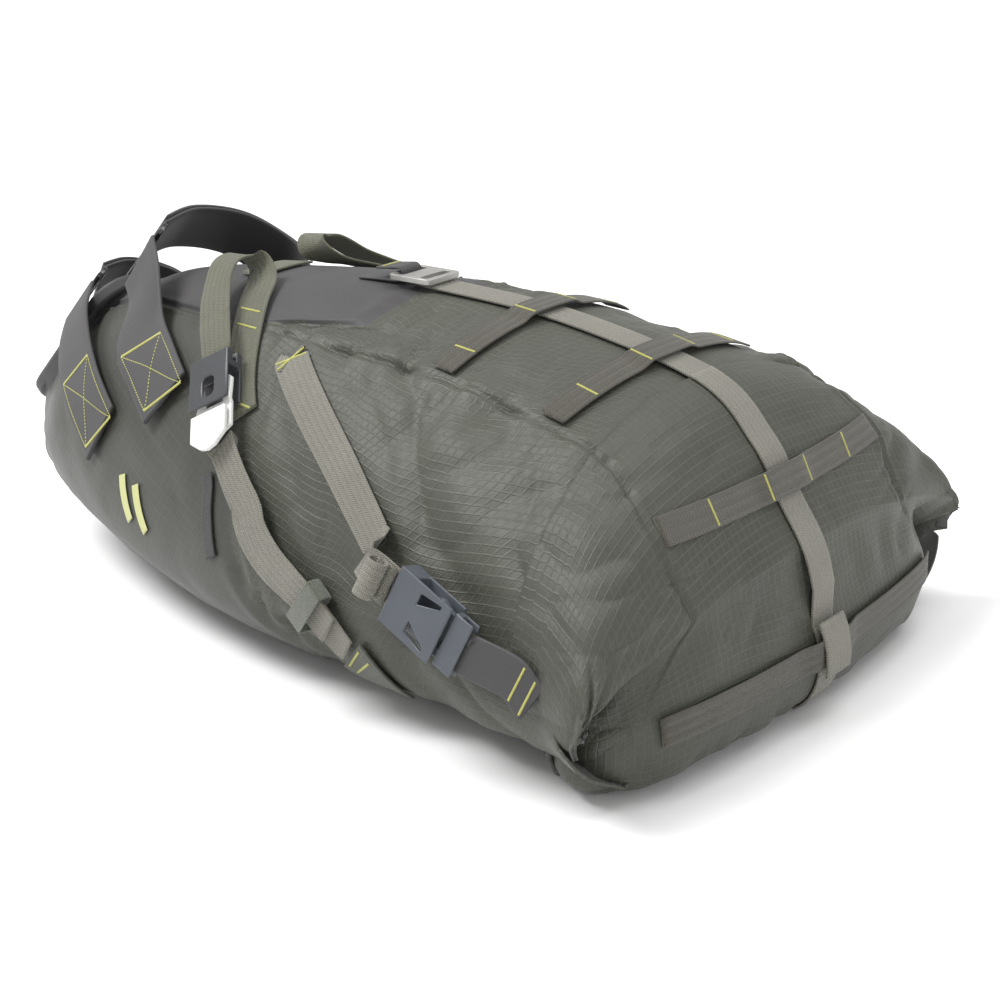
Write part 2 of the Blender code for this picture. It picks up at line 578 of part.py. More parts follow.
def build_seat_strap(name, spec):
    ring_at = Vector(spec["ring"])
    ring_half = 0.0112
    width_way = POST_AXIS.normalized()
    sewn_left = []
    for s, u, lift in spec["sewn"]:
        out = outward(s, u)
        flat = (width_way - out * width_way.dot(out)).normalized()
        sewn_left.append(Vector((*skin(s, u, lift + SEAT_STRAP_THICK / 2), *flat)))
    sewn_right = [Vector((row[0], -row[1], row[2], row[3], -row[4], row[5])) for row in sewn_left]
    run = Vector(spec["right_free"][0]) - Vector(spec["left_free"][-1])
    run = (run - width_way * run.dot(width_way)).normalized()
    free = {key: [Vector((*point, *width_way)) for point in spec[key]] for key in ("left_free", "right_free")}
    ends = [Vector((*(ring_at + run * ring_half * way), *width_way)) for way in (-1, 1)]
    left_rows = curve_through(sewn_left + free["left_free"] + ends[:1], 15)
    right_rows = curve_through(ends[1:] + free["right_free"] + sewn_right[::-1], 21)
    for label, rows in (("left", left_rows), ("right", right_rows)):
        strap = ribbon([Vector(row[:3]) for row in rows], SEAT_STRAP_WIDTH, SEAT_STRAP_THICK,
                       [Vector(row[3:]) for row in rows])
        solid("seatpost_strap_" + name + "_" + label, strap, "hypalon", 0.75)
    right = [Vector(row[:3]) for row in right_rows]
    out = width_way.cross(run)
    if out.dot(ring_at - Vector((0, 0, 0.05))) < 0:
        out = -out
    place = frame_at(ring_at, run, out)
    frame = outline(rounded(0.0105, 0.046, 0.003), 0.003, [rounded(0.0050, 0.040, 0.0012)])
    solid("seatpost_ring_" + name, frame, "gloss", 0.15, place=place)
    tail = []
    for k in range(1, 12):
        ahead = (right[k + 1] - right[k - 1]).normalized()
        away = width_way.cross(ahead).normalized()
        if away.dot(out) < 0:
            away = -away
        out = away
        tail.append(right[k] + away * (SEAT_STRAP_THICK + 0.0018))
    solid("seatpost_tail_" + name, ribbon(tail, SEAT_STRAP_WIDTH - 0.004, 0.0016, width_way), "hook", 0.9,
          pivot=tail[0])


def build_label():
    stops = ((0.316, 177, 0.0008), (0.328, 184, 0.0008), (0.338, 192, 0.0008))
    solid("side_label", strap_on_skin(LEFT, stops, 6, LABEL_WIDTH, LABEL_THICK), "label", 0.6)


def main():
    for item in list(bpy.data.objects):
        bpy.data.objects.remove(item, do_unlink=True)
    build_panels()
    build_seatpost_pad()
    build_flap()
    build_bands()
    build_centre_strap()
    build_ladder_lock()
    for name, side in SIDES.items():
        build_compression(name, side)
        build_rail_strap(name, side)
        build_rail_buckle(name, side)
        build_rail_webbing(name, side)
    build_saddle_strap()
    for name, spec in SEAT_STRAPS.items():
        build_seat_strap(name, spec)
    build_label()


main()
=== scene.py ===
"""Looks of a roll-closure saddle bag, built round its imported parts.

Frame: metres, +X towards the rolled rear end, -Y the bag's left side, +Z up, underside at z = 0.
Every piece is built in place: the shell and rear hood as dense crumpled cloth, the straps as woven
ribbons with their sewing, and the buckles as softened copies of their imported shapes.
"""
import itertools
import json
import logging
import math
from dataclasses import dataclass, field
from enum import Enum

import bmesh
import bpy
import numpy as np
from mathutils import Matrix, Vector
from mathutils.kdtree import KDTree

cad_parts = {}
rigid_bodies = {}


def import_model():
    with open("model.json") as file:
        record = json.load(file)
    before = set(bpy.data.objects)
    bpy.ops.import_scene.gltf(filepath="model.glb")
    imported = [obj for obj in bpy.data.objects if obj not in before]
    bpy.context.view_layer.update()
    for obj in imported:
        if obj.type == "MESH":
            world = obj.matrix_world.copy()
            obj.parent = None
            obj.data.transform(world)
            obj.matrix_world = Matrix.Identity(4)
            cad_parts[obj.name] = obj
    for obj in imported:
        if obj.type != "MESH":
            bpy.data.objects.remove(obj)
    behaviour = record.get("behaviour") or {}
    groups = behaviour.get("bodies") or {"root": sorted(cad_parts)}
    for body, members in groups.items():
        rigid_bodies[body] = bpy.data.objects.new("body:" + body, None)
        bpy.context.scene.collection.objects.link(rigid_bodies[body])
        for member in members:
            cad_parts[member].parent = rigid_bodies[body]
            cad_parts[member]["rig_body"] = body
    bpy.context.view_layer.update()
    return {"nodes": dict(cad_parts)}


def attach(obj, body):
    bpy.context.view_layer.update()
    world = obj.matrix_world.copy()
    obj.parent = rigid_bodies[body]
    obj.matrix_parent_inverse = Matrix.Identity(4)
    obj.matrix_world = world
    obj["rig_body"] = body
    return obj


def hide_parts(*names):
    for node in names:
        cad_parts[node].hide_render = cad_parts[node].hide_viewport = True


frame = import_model()
log = logging.getLogger("saddle_bag")

MM = 0.001
ROOT, FLAP = "root", "flap"


class Side(Enum):
    """The two sides of the bag and the sign of Y on each."""

    LEFT = -1
    RIGHT = 1

    @property
    def word(self) -> str:
        """The side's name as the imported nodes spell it."""
        return self.name.lower()


# ------------------------------------------------------------------------------ shared maths
def catmull_rom(a: object, b: object, c: object, d: object, t: object) -> object:
    """Value between b and c, at share t of the way, on the curve through four vectors or arrays."""
    return 0.5 * (2 * b + (c - a) * t + (2 * a - 5 * b + 4 * c - d) * t ** 2
                  + (3 * b - a - 3 * c + d) * t ** 3)


def smooth(rows: list, place: float) -> Vector:
    """Value on a Catmull-Rom curve.

    Args:
        rows: the values that it passes through.
        place: 0 at the first and 1 at the last.

    Returns:
        The value there.
    """
    spot = min(max(place, 0.0), 1.0) * (len(rows) - 1)
    first = min(int(spot), len(rows) - 2)
    t = spot - first
    a, b, c, d = (rows[min(max(k, 0), len(rows) - 1)] for k in range(first - 1, first + 3))
    return catmull_rom(a, b, c, d, t)


def along_curve(rows: list, count: int) -> list:
    """Evenly placed values on the curve through rows.

    Args:
        rows: the values that it passes through, as tuples or vectors.
        count: how many values to return.

    Returns:
        The values as vectors.
    """
    stops = [Vector(row) for row in rows]
    return [smooth(stops, k / (count - 1)) for k in range(count)]


def degrees_from_top(u: np.ndarray) -> np.ndarray:
    """Degrees from the top line, either way round, for degrees u round from +Y."""
    return np.abs((u + 90) % 360 - 180)


def ease(value: np.ndarray, low: float, high: float) -> np.ndarray:
    """Smooth step from 0 at low to 1 at high."""
    t = np.clip((value - low) / (high - low), 0.0, 1.0)
    return t * t * (3 - 2 * t)


class Lumps:
    """Smooth repeatable noise in space, from a seeded table of slopes."""

    SIZE = 256

    def __init__(self, seed: int) -> None:
        """Args:
            seed: number that picks the noise.
        """
        table = np.random.default_rng(seed)
        self.order = table.permutation(self.SIZE)
        slopes = table.normal(size=(self.SIZE, 3))
        self.slopes = slopes / np.linalg.norm(slopes, axis=1, keepdims=True)

    def soft(self, places: np.ndarray) -> np.ndarray:
        """Rounded lumps.

        Args:
            places: points, one cell of the noise per unit.

        Returns:
            A value near -0.7 to 0.7 for each point.
        """
        base = np.floor(places).astype(int)
        part = places - base
        fade = part ** 3 * (part * (part * 6 - 15) + 10)
        total = np.zeros(places.shape[:-1])
        for corner in itertools.product((0, 1), repeat=3):
            cell = (base + corner) & (self.SIZE - 1)
            key = self.order[cell[..., 0]]
            for axis in (1, 2):
                key = self.order[(key + cell[..., axis]) & (self.SIZE - 1)]
            slope = np.sum(self.slopes[key] * (part - corner), axis=-1)
            total += slope * np.prod(np.where(corner, fade, 1 - fade), axis=-1)
        return total

    def creases(self, places: np.ndarray) -> np.ndarray:
        """Rounded hills between sharp narrow valleys, from 0 to about 1."""
        return np.clip(np.abs(self.soft(places)) * 2.4, 0.0, 1.0) ** 0.7

    def folds(self, x: np.ndarray, y: np.ndarray, z: np.ndarray) -> np.ndarray:
        """Creases about their own mean, from coordinates already counted in cells."""
        return self.creases(np.stack((x, y, z), axis=-1)) - 0.6


# ------------------------------------------------------------------------------ the bag's form
@dataclass(frozen=True)
class BagForm:
    """The stuffed form that every panel and strap lies on; s runs nose to closure, u round from +Y."""

    ribs: tuple = (
        (-0.282, 0.070, -0.202, 0.150, 0.020, -0.15),
        (-0.236, 0.038, -0.140, 0.171, 0.063, -0.17),
        (-0.144, 0.016, -0.060, 0.180, 0.099, -0.18),
        (-0.024, 0.000, 0.016, 0.183, 0.124, -0.20),
        (0.106, -0.003, 0.116, 0.179, 0.138, -0.19),
        (0.211, -0.003, 0.208, 0.160, 0.152, -0.15),
        (0.260, -0.002, 0.242, 0.133, 0.167, -0.12),
        (0.266, 0.006, 0.258, 0.106, 0.168, -0.13),
        (0.251, 0.009, 0.274, 0.078, 0.160, -0.10),
        (0.236, 0.010, 0.282, 0.034, 0.150, -0.07),
    )
    top_round: float = 2.25
    bottom_square: float = 3.0
    front: float = 0.004
    top_seam: float = 39.0
    base_seam: float = 140.0
    nose_seam_at: float = 0.275
    nose_seam_slope: float = 0.0013
    nose_top_end: float = 0.360
    mouth: float = 0.553
    hood_start: float = 0.560
    hood_end: float = 0.920
    rim_rise: float = 0.200

    def point(self, s: float, u: float) -> Vector:
        """Point of the bare form at s and u."""
        return Vector(self.points(np.array([float(s)]), np.array([float(u)]))[0])

    def points(self, s: np.ndarray, u: np.ndarray) -> np.ndarray:
        """Points of the bare form.

        Args:
            s: places along the bag, nose to closure.
            u: degrees round from +Y over the top, same shape as s.

        Returns:
            An array with a last axis of x, y, z.
        """
        ribs = np.array(self.ribs)
        spot = np.clip(s, 0.0, 1.0) * (len(ribs) - 1)
        first = np.minimum(spot.astype(int), len(ribs) - 2)
        t = (spot - first)[..., None]
        a, b, c, d = (ribs[np.clip(first + k, 0, len(ribs) - 1)] for k in (-1, 0, 1, 2))
        row = catmull_rom(a, b, c, d, t)
        angle = np.radians(u)
        power = 2 / np.where(np.sin(angle) > 0, self.top_round, self.bottom_square)
        across = np.sign(np.cos(angle)) * np.abs(np.cos(angle)) ** power
        rise = np.sign(np.sin(angle)) * np.abs(np.sin(angle)) ** power
        x = (row[..., 0] + row[..., 2]) / 2 + (row[..., 2] - row[..., 0]) / 2 * rise
        z = (row[..., 1] + row[..., 3]) / 2 + (row[..., 3] - row[..., 1]) / 2 * rise
        y = row[..., 4] * (1 + row[..., 5] * rise) * across
        return np.stack((x, y, np.maximum(z, 0.0)), axis=-1)

    def along(self, s: float, u: float) -> Vector:
        """Unit direction along the bag, towards the closure."""
        return (self.point(min(s + 0.004, 1.0), u) - self.point(max(s - 0.004, 0.0), u)).normalized()

    def outward(self, s: float, u: float) -> Vector:
        """Unit direction out of the bag."""
        around = self.point(s, u + 1.0) - self.point(s, u - 1.0)
        return around.cross(self.along(s, u)).normalized()

    def skin(self, s: float, u: float, lift: float = 0.0) -> Vector:
        """Point above the bare form by lift."""
        return self.point(s, u) + self.outward(s, u) * lift

    def side_skin(self, side: Side, s: float, u: float, lift: float = 0.0) -> Vector:
        """The same on either side, with u given for the left one."""
        return mirrored(side, self.skin(s, u, lift))

    def nose_seam(self, u: np.ndarray) -> np.ndarray:
        """Place of the seam behind the nose panels, for degrees u."""
        below = degrees_from_top(u) - self.top_seam
        reach = self.base_seam - self.top_seam
        lower = self.nose_seam_at + self.nose_seam_slope * np.clip(below, 0.0, reach)
        return lower + (self.nose_top_end - lower) * ease(-below, 1.0, 13.0)

    def seams(self) -> tuple:
        """Degrees u of the four long seams: right top, left top, left bottom and right bottom."""
        return 90 - self.top_seam, 90 + self.top_seam, 90 + self.base_seam, 450 - self.base_seam

    def rim(self, u: np.ndarray) -> np.ndarray:
        """Place of the hood's lower edge, for degrees u."""
        return self.hood_end - self.rim_rise * (np.abs(u - 90) / 100) ** 6


FORM = BagForm()


def mirrored(side: Side, vector: Vector) -> Vector:
    """The vector itself on the left, and its mirror image in Y on the right."""
    return Vector((vector[0], vector[1] if side is Side.LEFT else -vector[1], vector[2]))


def facing(vector: Vector, way: Vector) -> Vector:
    """The vector, turned round if it points against the way."""
    return vector if vector.dot(way) > 0 else -vector


def frame_at(origin: Vector, ahead: Vector, out: Vector) -> Matrix:
    """Matrix with X ahead, Z out of the bag and Y across."""
    x_axis = Vector(ahead).normalized()
    z_axis = (Vector(out) - x_axis * Vector(out).dot(x_axis)).normalized()
    matrix = Matrix((x_axis, z_axis.cross(x_axis), z_axis)).transposed().to_4x4()
    matrix.translation = Vector(origin)
    return matrix


# ------------------------------------------------------------------------------ finishes
Colour = tuple


class Dye:
    """Adds and joins the shader nodes of one material."""

    def __init__(self, name: str) -> None:
        """Args:
            name: the material's name.
        """
        self.material = bpy.data.materials.new(name)
        self.material.use_nodes = True
        self.tree = self.material.node_tree
        self.shader = self.tree.nodes["Principled BSDF"]

    def set(self, **values: float) -> None:
        """Sets sockets of the shader, given with _ for each space."""
        for name, value in values.items():
            self.shader.inputs[name.replace("_", " ")].default_value = value

    def feed(self, name: str, socket: bpy.types.NodeSocket) -> None:
        """Joins a socket to the shader's input of that name."""
        self.tree.links.new(socket, self.shader.inputs[name])

    def place(self, kind: str) -> bpy.types.NodeSocket:
        """The UV or Object coordinate of a point."""
        return self.tree.nodes.new("ShaderNodeTexCoord").outputs[kind]

    def split(self, vector: bpy.types.NodeSocket) -> list:
        """The three parts of a vector."""
        node = self.tree.nodes.new("ShaderNodeSeparateXYZ")
        self.tree.links.new(vector, node.inputs[0])
        return list(node.outputs)

    def math(self, operation: str, *values: object) -> bpy.types.NodeSocket:
        """One sum on sockets or numbers."""
        node = self.tree.nodes.new("ShaderNodeMath")
        node.operation = operation
        for slot, value in zip(node.inputs, values):
            if isinstance(value, (int, float)):
                slot.default_value = value
            else:
                self.tree.links.new(value, slot)
        return node.outputs[0]

    def noise(self, scale: float, detail: float = 3.0, stretch: tuple = (1, 1, 1)) -> bpy.types.NodeSocket:
        """Cloudy value from 0 to 1.

        Args:
            scale: cells to the metre.
            detail: how many finer layers it has.
            stretch: how much closer the cells are on each axis.

        Returns:
            The value's socket.
        """
        spread = self.tree.nodes.new("ShaderNodeMapping")
        spread.inputs["Scale"].default_value = stretch
        self.tree.links.new(self.place("Object"), spread.inputs["Vector"])
        node = self.tree.nodes.new("ShaderNodeTexNoise")
        node.inputs["Scale"].default_value = scale
        node.inputs["Detail"].default_value = detail
        self.tree.links.new(spread.outputs[0], node.inputs["Vector"])
        return node.outputs["Fac"]

    def line(self, value: bpy.types.NodeSocket, pitch: float, width: float) -> bpy.types.NodeSocket:
        """Soft lines one pitch apart: 1 on a line and 0 past half its width."""
        away = self.math("PINGPONG", value, pitch / 2)
        node = self.tree.nodes.new("ShaderNodeMapRange")
        node.interpolation_type = "SMOOTHSTEP"
        for name, number in (("From Min", 0.0), ("From Max", width), ("To Min", 1.0), ("To Max", 0.0)):
            node.inputs[name].default_value = number
        self.tree.links.new(away, node.inputs["Value"])
        return node.outputs[0]

    def between(self, share: bpy.types.NodeSocket, low: Colour, high: Colour) -> bpy.types.NodeSocket:
        """Colour that runs from low to high as share runs from 0 to 1."""
        node = self.tree.nodes.new("ShaderNodeMix")
        node.data_type = "RGBA"
        node.inputs[6].default_value = (*low, 1.0)
        node.inputs[7].default_value = (*high, 1.0)
        self.tree.links.new(share, node.inputs[0])
        return node.outputs[2]

    def relief(self, height: bpy.types.NodeSocket, depth: float) -> None:
        """Bump of that depth in metres from a height of 0 to 1."""
        node = self.tree.nodes.new("ShaderNodeBump")
        node.inputs["Distance"].default_value = depth
        self.tree.links.new(height, node.inputs["Height"])
        self.feed("Normal", node.outputs[0])


def shade(colour: Colour, times: float) -> Colour:
    """The colour made lighter or darker."""
    return tuple(part * times for part in colour)


@dataclass(frozen=True)
class Ripstop:
    """Thin woven cloth with a raised thread every few millimetres each way."""

    name: str
    colour: Colour
    grid: float = 0.0046
    thread: float = 0.0007
    contrast: float = 1.38
    roughness: float = 0.50
    sheen: float = 0.06
    crumple: float = 0.0006
    weave: float = 0.0009

    def material(self) -> bpy.types.Material:
        """The cloth's material, laid out on a UV map in metres."""
        dye = Dye(self.name)
        along, across, _ = dye.split(dye.place("UV"))
        threads = [dye.line(way, self.grid, self.thread) for way in (along, across)]
        yarns = [dye.line(way, self.weave, self.weave / 2) for way in (along, across)]
        net, weave = dye.math("MAXIMUM", *threads), dye.math("MULTIPLY", *yarns)
        clouds = dye.noise(14.0, 4.0)
        patch = dye.math("ADD", dye.math("MULTIPLY", net, 0.42), dye.math("MULTIPLY", clouds, 0.62))
        dark, light = shade(self.colour, 0.78), shade(self.colour, self.contrast)
        dye.feed("Base Color", dye.between(patch, dark, light))
        rough = dye.math("ADD", dye.math("MULTIPLY", clouds, 0.16), self.roughness - 0.08)
        dye.feed("Roughness", rough)
        creases = dye.noise(95.0, 5.0, (1.0, 1.0, 0.55))
        height = dye.math("ADD", dye.math("MULTIPLY", net, 0.26), dye.math("MULTIPLY", weave, 0.10))
        dye.relief(dye.math("ADD", height, dye.math("MULTIPLY", creases, 0.9)), self.crumple)
        dye.set(Sheen_Weight=self.sheen, Sheen_Roughness=0.4, Specular_IOR_Level=0.42)
        return dye.material


@dataclass(frozen=True)
class Coated:
    """Rubber coated cloth with a fine even grain."""

    name: str
    colour: Colour
    roughness: float = 0.62
    grain: float = 0.00016

    def material(self) -> bpy.types.Material:
        """The coated cloth's material."""
        dye = Dye(self.name)
        clouds, grain = dye.noise(22.0, 4.0), dye.noise(1500.0, 2.0)
        dye.feed("Base Color", dye.between(clouds, shade(self.colour, 0.86), shade(self.colour, 1.16)))
        dye.feed("Roughness", dye.math("ADD", dye.math("MULTIPLY", clouds, 0.14), self.roughness - 0.07))
        dye.relief(dye.math("ADD", dye.math("MULTIPLY", grain, 0.6), dye.noise(120.0, 3.0)), self.grain)
        dye.set(Specular_IOR_Level=0.45, Sheen_Weight=0.08)
        return dye.material


@dataclass(frozen=True)
class Woven:
    """Webbing: cross ribs in rows that lean to and fro, with plain edges."""

    name: str
    colour: Colour
    rib: float = 0.0013
    row: float = 0.0034
    depth: float = 0.00035
    roughness: float = 0.72

    def material(self) -> bpy.types.Material:
        """The webbing's material, with UV along and across it in metres; its colour holds painted shade in
        the grooves and painted highlight on the ribs, plus random tone.
        """
        dye = Dye(self.name)
        along, across, _ = dye.split(dye.place("UV"))
        lean = dye.math("PINGPONG", across, self.row / 2)
        ribs = dye.line(dye.math("ADD", along, lean), self.rib, self.rib * 0.42)
        rows = dye.line(across, self.row, self.row * 0.16)
        clouds = dye.noise(60.0, 4.0)
        height = dye.math("SUBTRACT", ribs, dye.math("MULTIPLY", rows, 0.5))
        # painted shade and highlight: the relief height darkens the grooves between rows and lightens the
        # ribs; the clouds add random tone
        tone = dye.math("ADD", dye.math("MULTIPLY", height, 0.55), dye.math("MULTIPLY", clouds, 0.5))
        dye.feed("Base Color", dye.between(tone, shade(self.colour, 0.66), shade(self.colour, 1.22)))
        dye.relief(dye.math("ADD", height, dye.math("MULTIPLY", dye.noise(900.0, 2.0), 0.3)), self.depth)
        dye.set(Roughness=self.roughness, Sheen_Weight=0.25, Sheen_Roughness=0.5, Specular_IOR_Level=0.3)
        return dye.material


@dataclass(frozen=True)
class Pile:
    """Fuzzy hook and loop pile."""

    name: str
    colour: Colour
    depth: float = 0.0009

    def material(self) -> bpy.types.Material:
        """The pile's material."""
        dye = Dye(self.name)
        fuzz, clouds = dye.noise(2100.0, 4.0), dye.noise(90.0, 3.0)
        tone = dye.math("ADD", dye.math("MULTIPLY", fuzz, 0.8), dye.math("MULTIPLY", clouds, 0.35))
        dye.feed("Base Color", dye.between(tone, shade(self.colour, 0.45), shade(self.colour, 1.7)))
        dye.relief(fuzz, self.depth)
        dye.set(Roughness=0.95, Sheen_Weight=0.5, Sheen_Roughness=0.6, Specular_IOR_Level=0.15)
        return dye.material


@dataclass(frozen=True)
class Moulded:
    """Moulded plastic or metal, with a fine texture and light marks of use."""

    name: str
    colour: Colour
    roughness: float = 0.4
    metallic: float = 0.0
    texture: float = 0.00006
    coat: float = 0.0

    def material(self) -> bpy.types.Material:
        """The moulding's material."""
        dye = Dye(self.name)
        clouds, marks = dye.noise(70.0, 5.0), dye.noise(380.0, 5.0, (1.0, 0.3, 1.0))
        dye.feed("Base Color", dye.between(clouds, shade(self.colour, 0.90), shade(self.colour, 1.12)))
        rough = dye.math("ADD", dye.math("MULTIPLY", marks, 0.22), self.roughness - 0.11)
        dye.feed("Roughness", rough)
        dye.relief(dye.noise(1700.0, 2.0), self.texture)
        dye.set(Metallic=self.metallic, Coat_Weight=self.coat, Coat_Roughness=0.2)
        return dye.material


OLIVE: Colour = (0.053, 0.055, 0.042)
LAMINATE = Ripstop("nose_laminate", (0.045, 0.046, 0.038), grid=0.0062, thread=0.0006, contrast=1.25,
                   roughness=0.46, sheen=0.04, crumple=0.0002)
FINISHES = {
    "shell": (Ripstop("shell_ripstop", OLIVE), "ripstop"),
    "hood": (Ripstop("hood_ripstop", shade(OLIVE, 0.96)), "ripstop"),
    "nose": (LAMINATE, "nose_cloth"),
    "lining": (Coated("grey_lining", (0.055, 0.058, 0.052), 0.5), "nose_cloth"),
    "hypalon": (Coated("coated_cloth", (0.040, 0.038, 0.040)), "hypalon"),
    "webbing": (Woven("light_webbing", (0.200, 0.192, 0.158)), "webbing"),
    "rail_web": (Woven("olive_webbing", (0.118, 0.120, 0.080)), "webbing"),
    "band": (Woven("dark_band", (0.070, 0.064, 0.047), 0.0011, 0.0050), "lash_webbing"),
    "pile": (Pile("strap_pile", (0.032, 0.032, 0.033)), "hook_loop"),
    "green_pile": (Pile("green_pile", (0.048, 0.056, 0.034)), "hook_loop"),
    "thread": (Woven("yellow_thread", (0.420, 0.415, 0.110), 0.0004, 0.0009, 0.0001), "webbing"),
    "label": (Woven("label_weave", (0.022, 0.022, 0.023), 0.0005, 0.0010, 0.0001), "label_cloth"),
    "buckle": (Moulded("blue_grey_acetal", (0.066, 0.075, 0.088), 0.36), "buckle_grey"),
    "buckle_dark": (Moulded("dark_acetal", (0.040, 0.042, 0.046), 0.34), "buckle_dark"),
    "white": (Moulded("white_acetal", (0.74, 0.74, 0.72), 0.28, coat=0.3), "buckle_white"),
    "metal": (Moulded("light_metal", (0.46, 0.45, 0.43), 0.36, 0.75), "lock_metal"),
    "gloss": (Moulded("black_gloss", (0.012, 0.012, 0.013), 0.16, coat=0.5), "ring_black"),
    "board": (Moulded("stiff_sheet", (0.035, 0.036, 0.038), 0.5), "stiffener"),
    "print": (Coated("pale_print", (0.46, 0.47, 0.20), 0.5), "nose_cloth"),
}
MADE: dict = {}


def finish_of(key: str) -> bpy.types.Material:
    """The material of a finish, made once."""
    if key not in MADE:
        MADE[key] = FINISHES[key][0].material()
    return MADE[key]


# ------------------------------------------------------------------------------ putting pieces in place
def settle(item: bpy.types.Object, finish: str, body: str, nodes: tuple = ()) -> bpy.types.Object:
    """Gives a piece its finish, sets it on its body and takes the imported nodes' places.

    Args:
        item: the piece, already in place.
        finish: key of its finish.
        body: body that it rides on.
        nodes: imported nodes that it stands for.

    Returns:
        The piece.
    """
    if not item.data.materials:
        item.data.materials.append(finish_of(finish))
    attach(item, body)
    if nodes:
        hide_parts(*nodes)
    log.info("%s on %s, %d points", item.name, body, len(item.data.vertices))
    return item


def item_from(name: str, shape: bmesh.types.BMesh) -> bpy.types.Object:
    """Object with smooth shading from a bmesh, which is freed."""
    mesh = bpy.data.meshes.new(name)
    shape.to_mesh(mesh)
    shape.free()
    mesh.shade_smooth()
    item = bpy.data.objects.new(name, mesh)
    bpy.context.scene.collection.objects.link(item)
    return item


def item_from_grid(name: str, places: np.ndarray, wrap: bool = False) -> bpy.types.Object:
    """Sheet over a grid of points, with a UV map in metres.

    Args:
        name: the object's name.
        places: points as rows by columns by xyz.
        wrap: joins the last column to the first.

    Returns:
        The object; its faces run row by row.
    """
    rows, cols = places.shape[:2]
    index = np.arange(rows * cols).reshape(rows, cols)
    right = np.roll(index, -1, axis=1) if wrap else index[:, 1:]
    left = index if wrap else index[:, :-1]
    faces = np.stack((left[:-1], right[:-1], right[1:], left[1:]), axis=-1).reshape(-1, 4)
    mesh = bpy.data.meshes.new(name)
    mesh.from_pydata(places.reshape(-1, 3).tolist(), [], faces.tolist())
    down = np.cumsum(np.linalg.norm(np.diff(places, axis=0, prepend=places[:1]), axis=-1), axis=0)
    over = np.cumsum(np.linalg.norm(np.diff(places, axis=1, prepend=places[:, :1]), axis=-1), axis=1)
    over -= over[:, cols // 2:cols // 2 + 1]
    flat = np.stack((down, over), axis=-1).reshape(-1, 2)
    layer = mesh.uv_layers.new(name="metres")
    layer.data.foreach_set("uv", flat[faces.reshape(-1)].astype(np.float32).ravel())
    mesh.uv_layers.active = layer
    mesh.update()
    mesh.shade_smooth()
    item = bpy.data.objects.new(name, mesh)
    bpy.context.scene.collection.objects.link(item)
    return item


def thicken(item: bpy.types.Object, thickness: float, inner: str) -> None:
    """Gives a sheet a thickness inwards and a lining of another finish.

    Args:
        item: the sheet, with its own materials already on it.
        thickness: the wall in metres.
        inner: key of the lining's finish.
    """
    item.data.materials.append(finish_of(inner))
    wall = item.modifiers.new("wall", "SOLIDIFY")
    wall.thickness = thickness
    wall.offset = -1.0
    wall.material_offset = len(item.data.materials) - 1


# ------------------------------------------------------------------------------ ribbons and sewing
@dataclass
class Run:
    """A strap's way: centre points and the direction of its width at each."""

    points: list
    sides: list

    def outs(self) -> list:
        """The direction out of the strap's upper face at each point."""
        found = []
        last = len(self.points) - 1
        for k, side in enumerate(self.sides):
            ahead = self.points[min(k + 1, last)] - self.points[max(k - 1, 0)]
            found.append(side.cross(ahead).normalized())
        return found

    def finer(self, times: int) -> "Run":
        """The same way with more points on its curve."""
        count = (len(self.points) - 1) * times + 1
        return Run(along_curve(self.points, count), along_curve(self.sides, count))


@dataclass(frozen=True)
class Strap:
    """Cross-section of a ribbon, with round edges."""

    width: float
    thick: float
    crown: float = 0.0

    def section(self) -> list:
        """Points across and out of the ribbon, once round."""
        half, edge = self.width / 2, self.thick / 2
        flat = half - edge
        ring = []
        for way, angles in ((1, (120, 150, 180, 210, 240)), (-1, (-60, -30, 0, 30, 60))):
            for k in range(7):
                ring.append((way * flat * (1 - k / 3), way * edge + self.crown * (1 - (1 - k / 3) ** 2)))
            for angle in angles:
                turn = math.radians(angle)
                ring.append((-way * flat + edge * math.cos(turn), edge * math.sin(turn)))
        return ring

    def weave(self, name: str, run: Run) -> bpy.types.Object:
        """The ribbon along a run.

        Args:
            name: the object's name.
            run: its way.

        Returns:
            The object, with UV along and across it in metres.
        """
        shape = bmesh.new()
        sheet = shape.loops.layers.uv.new("metres")
        ring = self.section()
        outs = run.outs()
        travelled, rings, stations = 0.0, [], []
        for k, point in enumerate(run.points):
            ahead = run.points[min(k + 1, len(run.points) - 1)] - run.points[max(k - 1, 0)]
            side = (run.sides[k] - ahead.normalized() * run.sides[k].dot(ahead.normalized())).normalized()
            rings.append([shape.verts.new(point + side * a + outs[k] * b) for a, b in ring])
            travelled += (point - run.points[k - 1]).length if k else 0.0
            stations.append(travelled)
        count = len(ring)
        for k in range(len(rings) - 1):
            for j in range(count):
                jj = (j + 1) % count
                face = shape.faces.new((rings[k][j], rings[k][jj], rings[k + 1][jj], rings[k + 1][j]))
                for loop, (station, spot) in zip(face.loops, ((k, j), (k, jj), (k + 1, jj), (k + 1, j))):
                    loop[sheet].uv = (stations[station], ring[spot][0])
        shape.faces.new(reversed(rings[0]))
        shape.faces.new(rings[-1])
        bmesh.ops.recalc_face_normals(shape, faces=shape.faces)
        return item_from(name, shape)


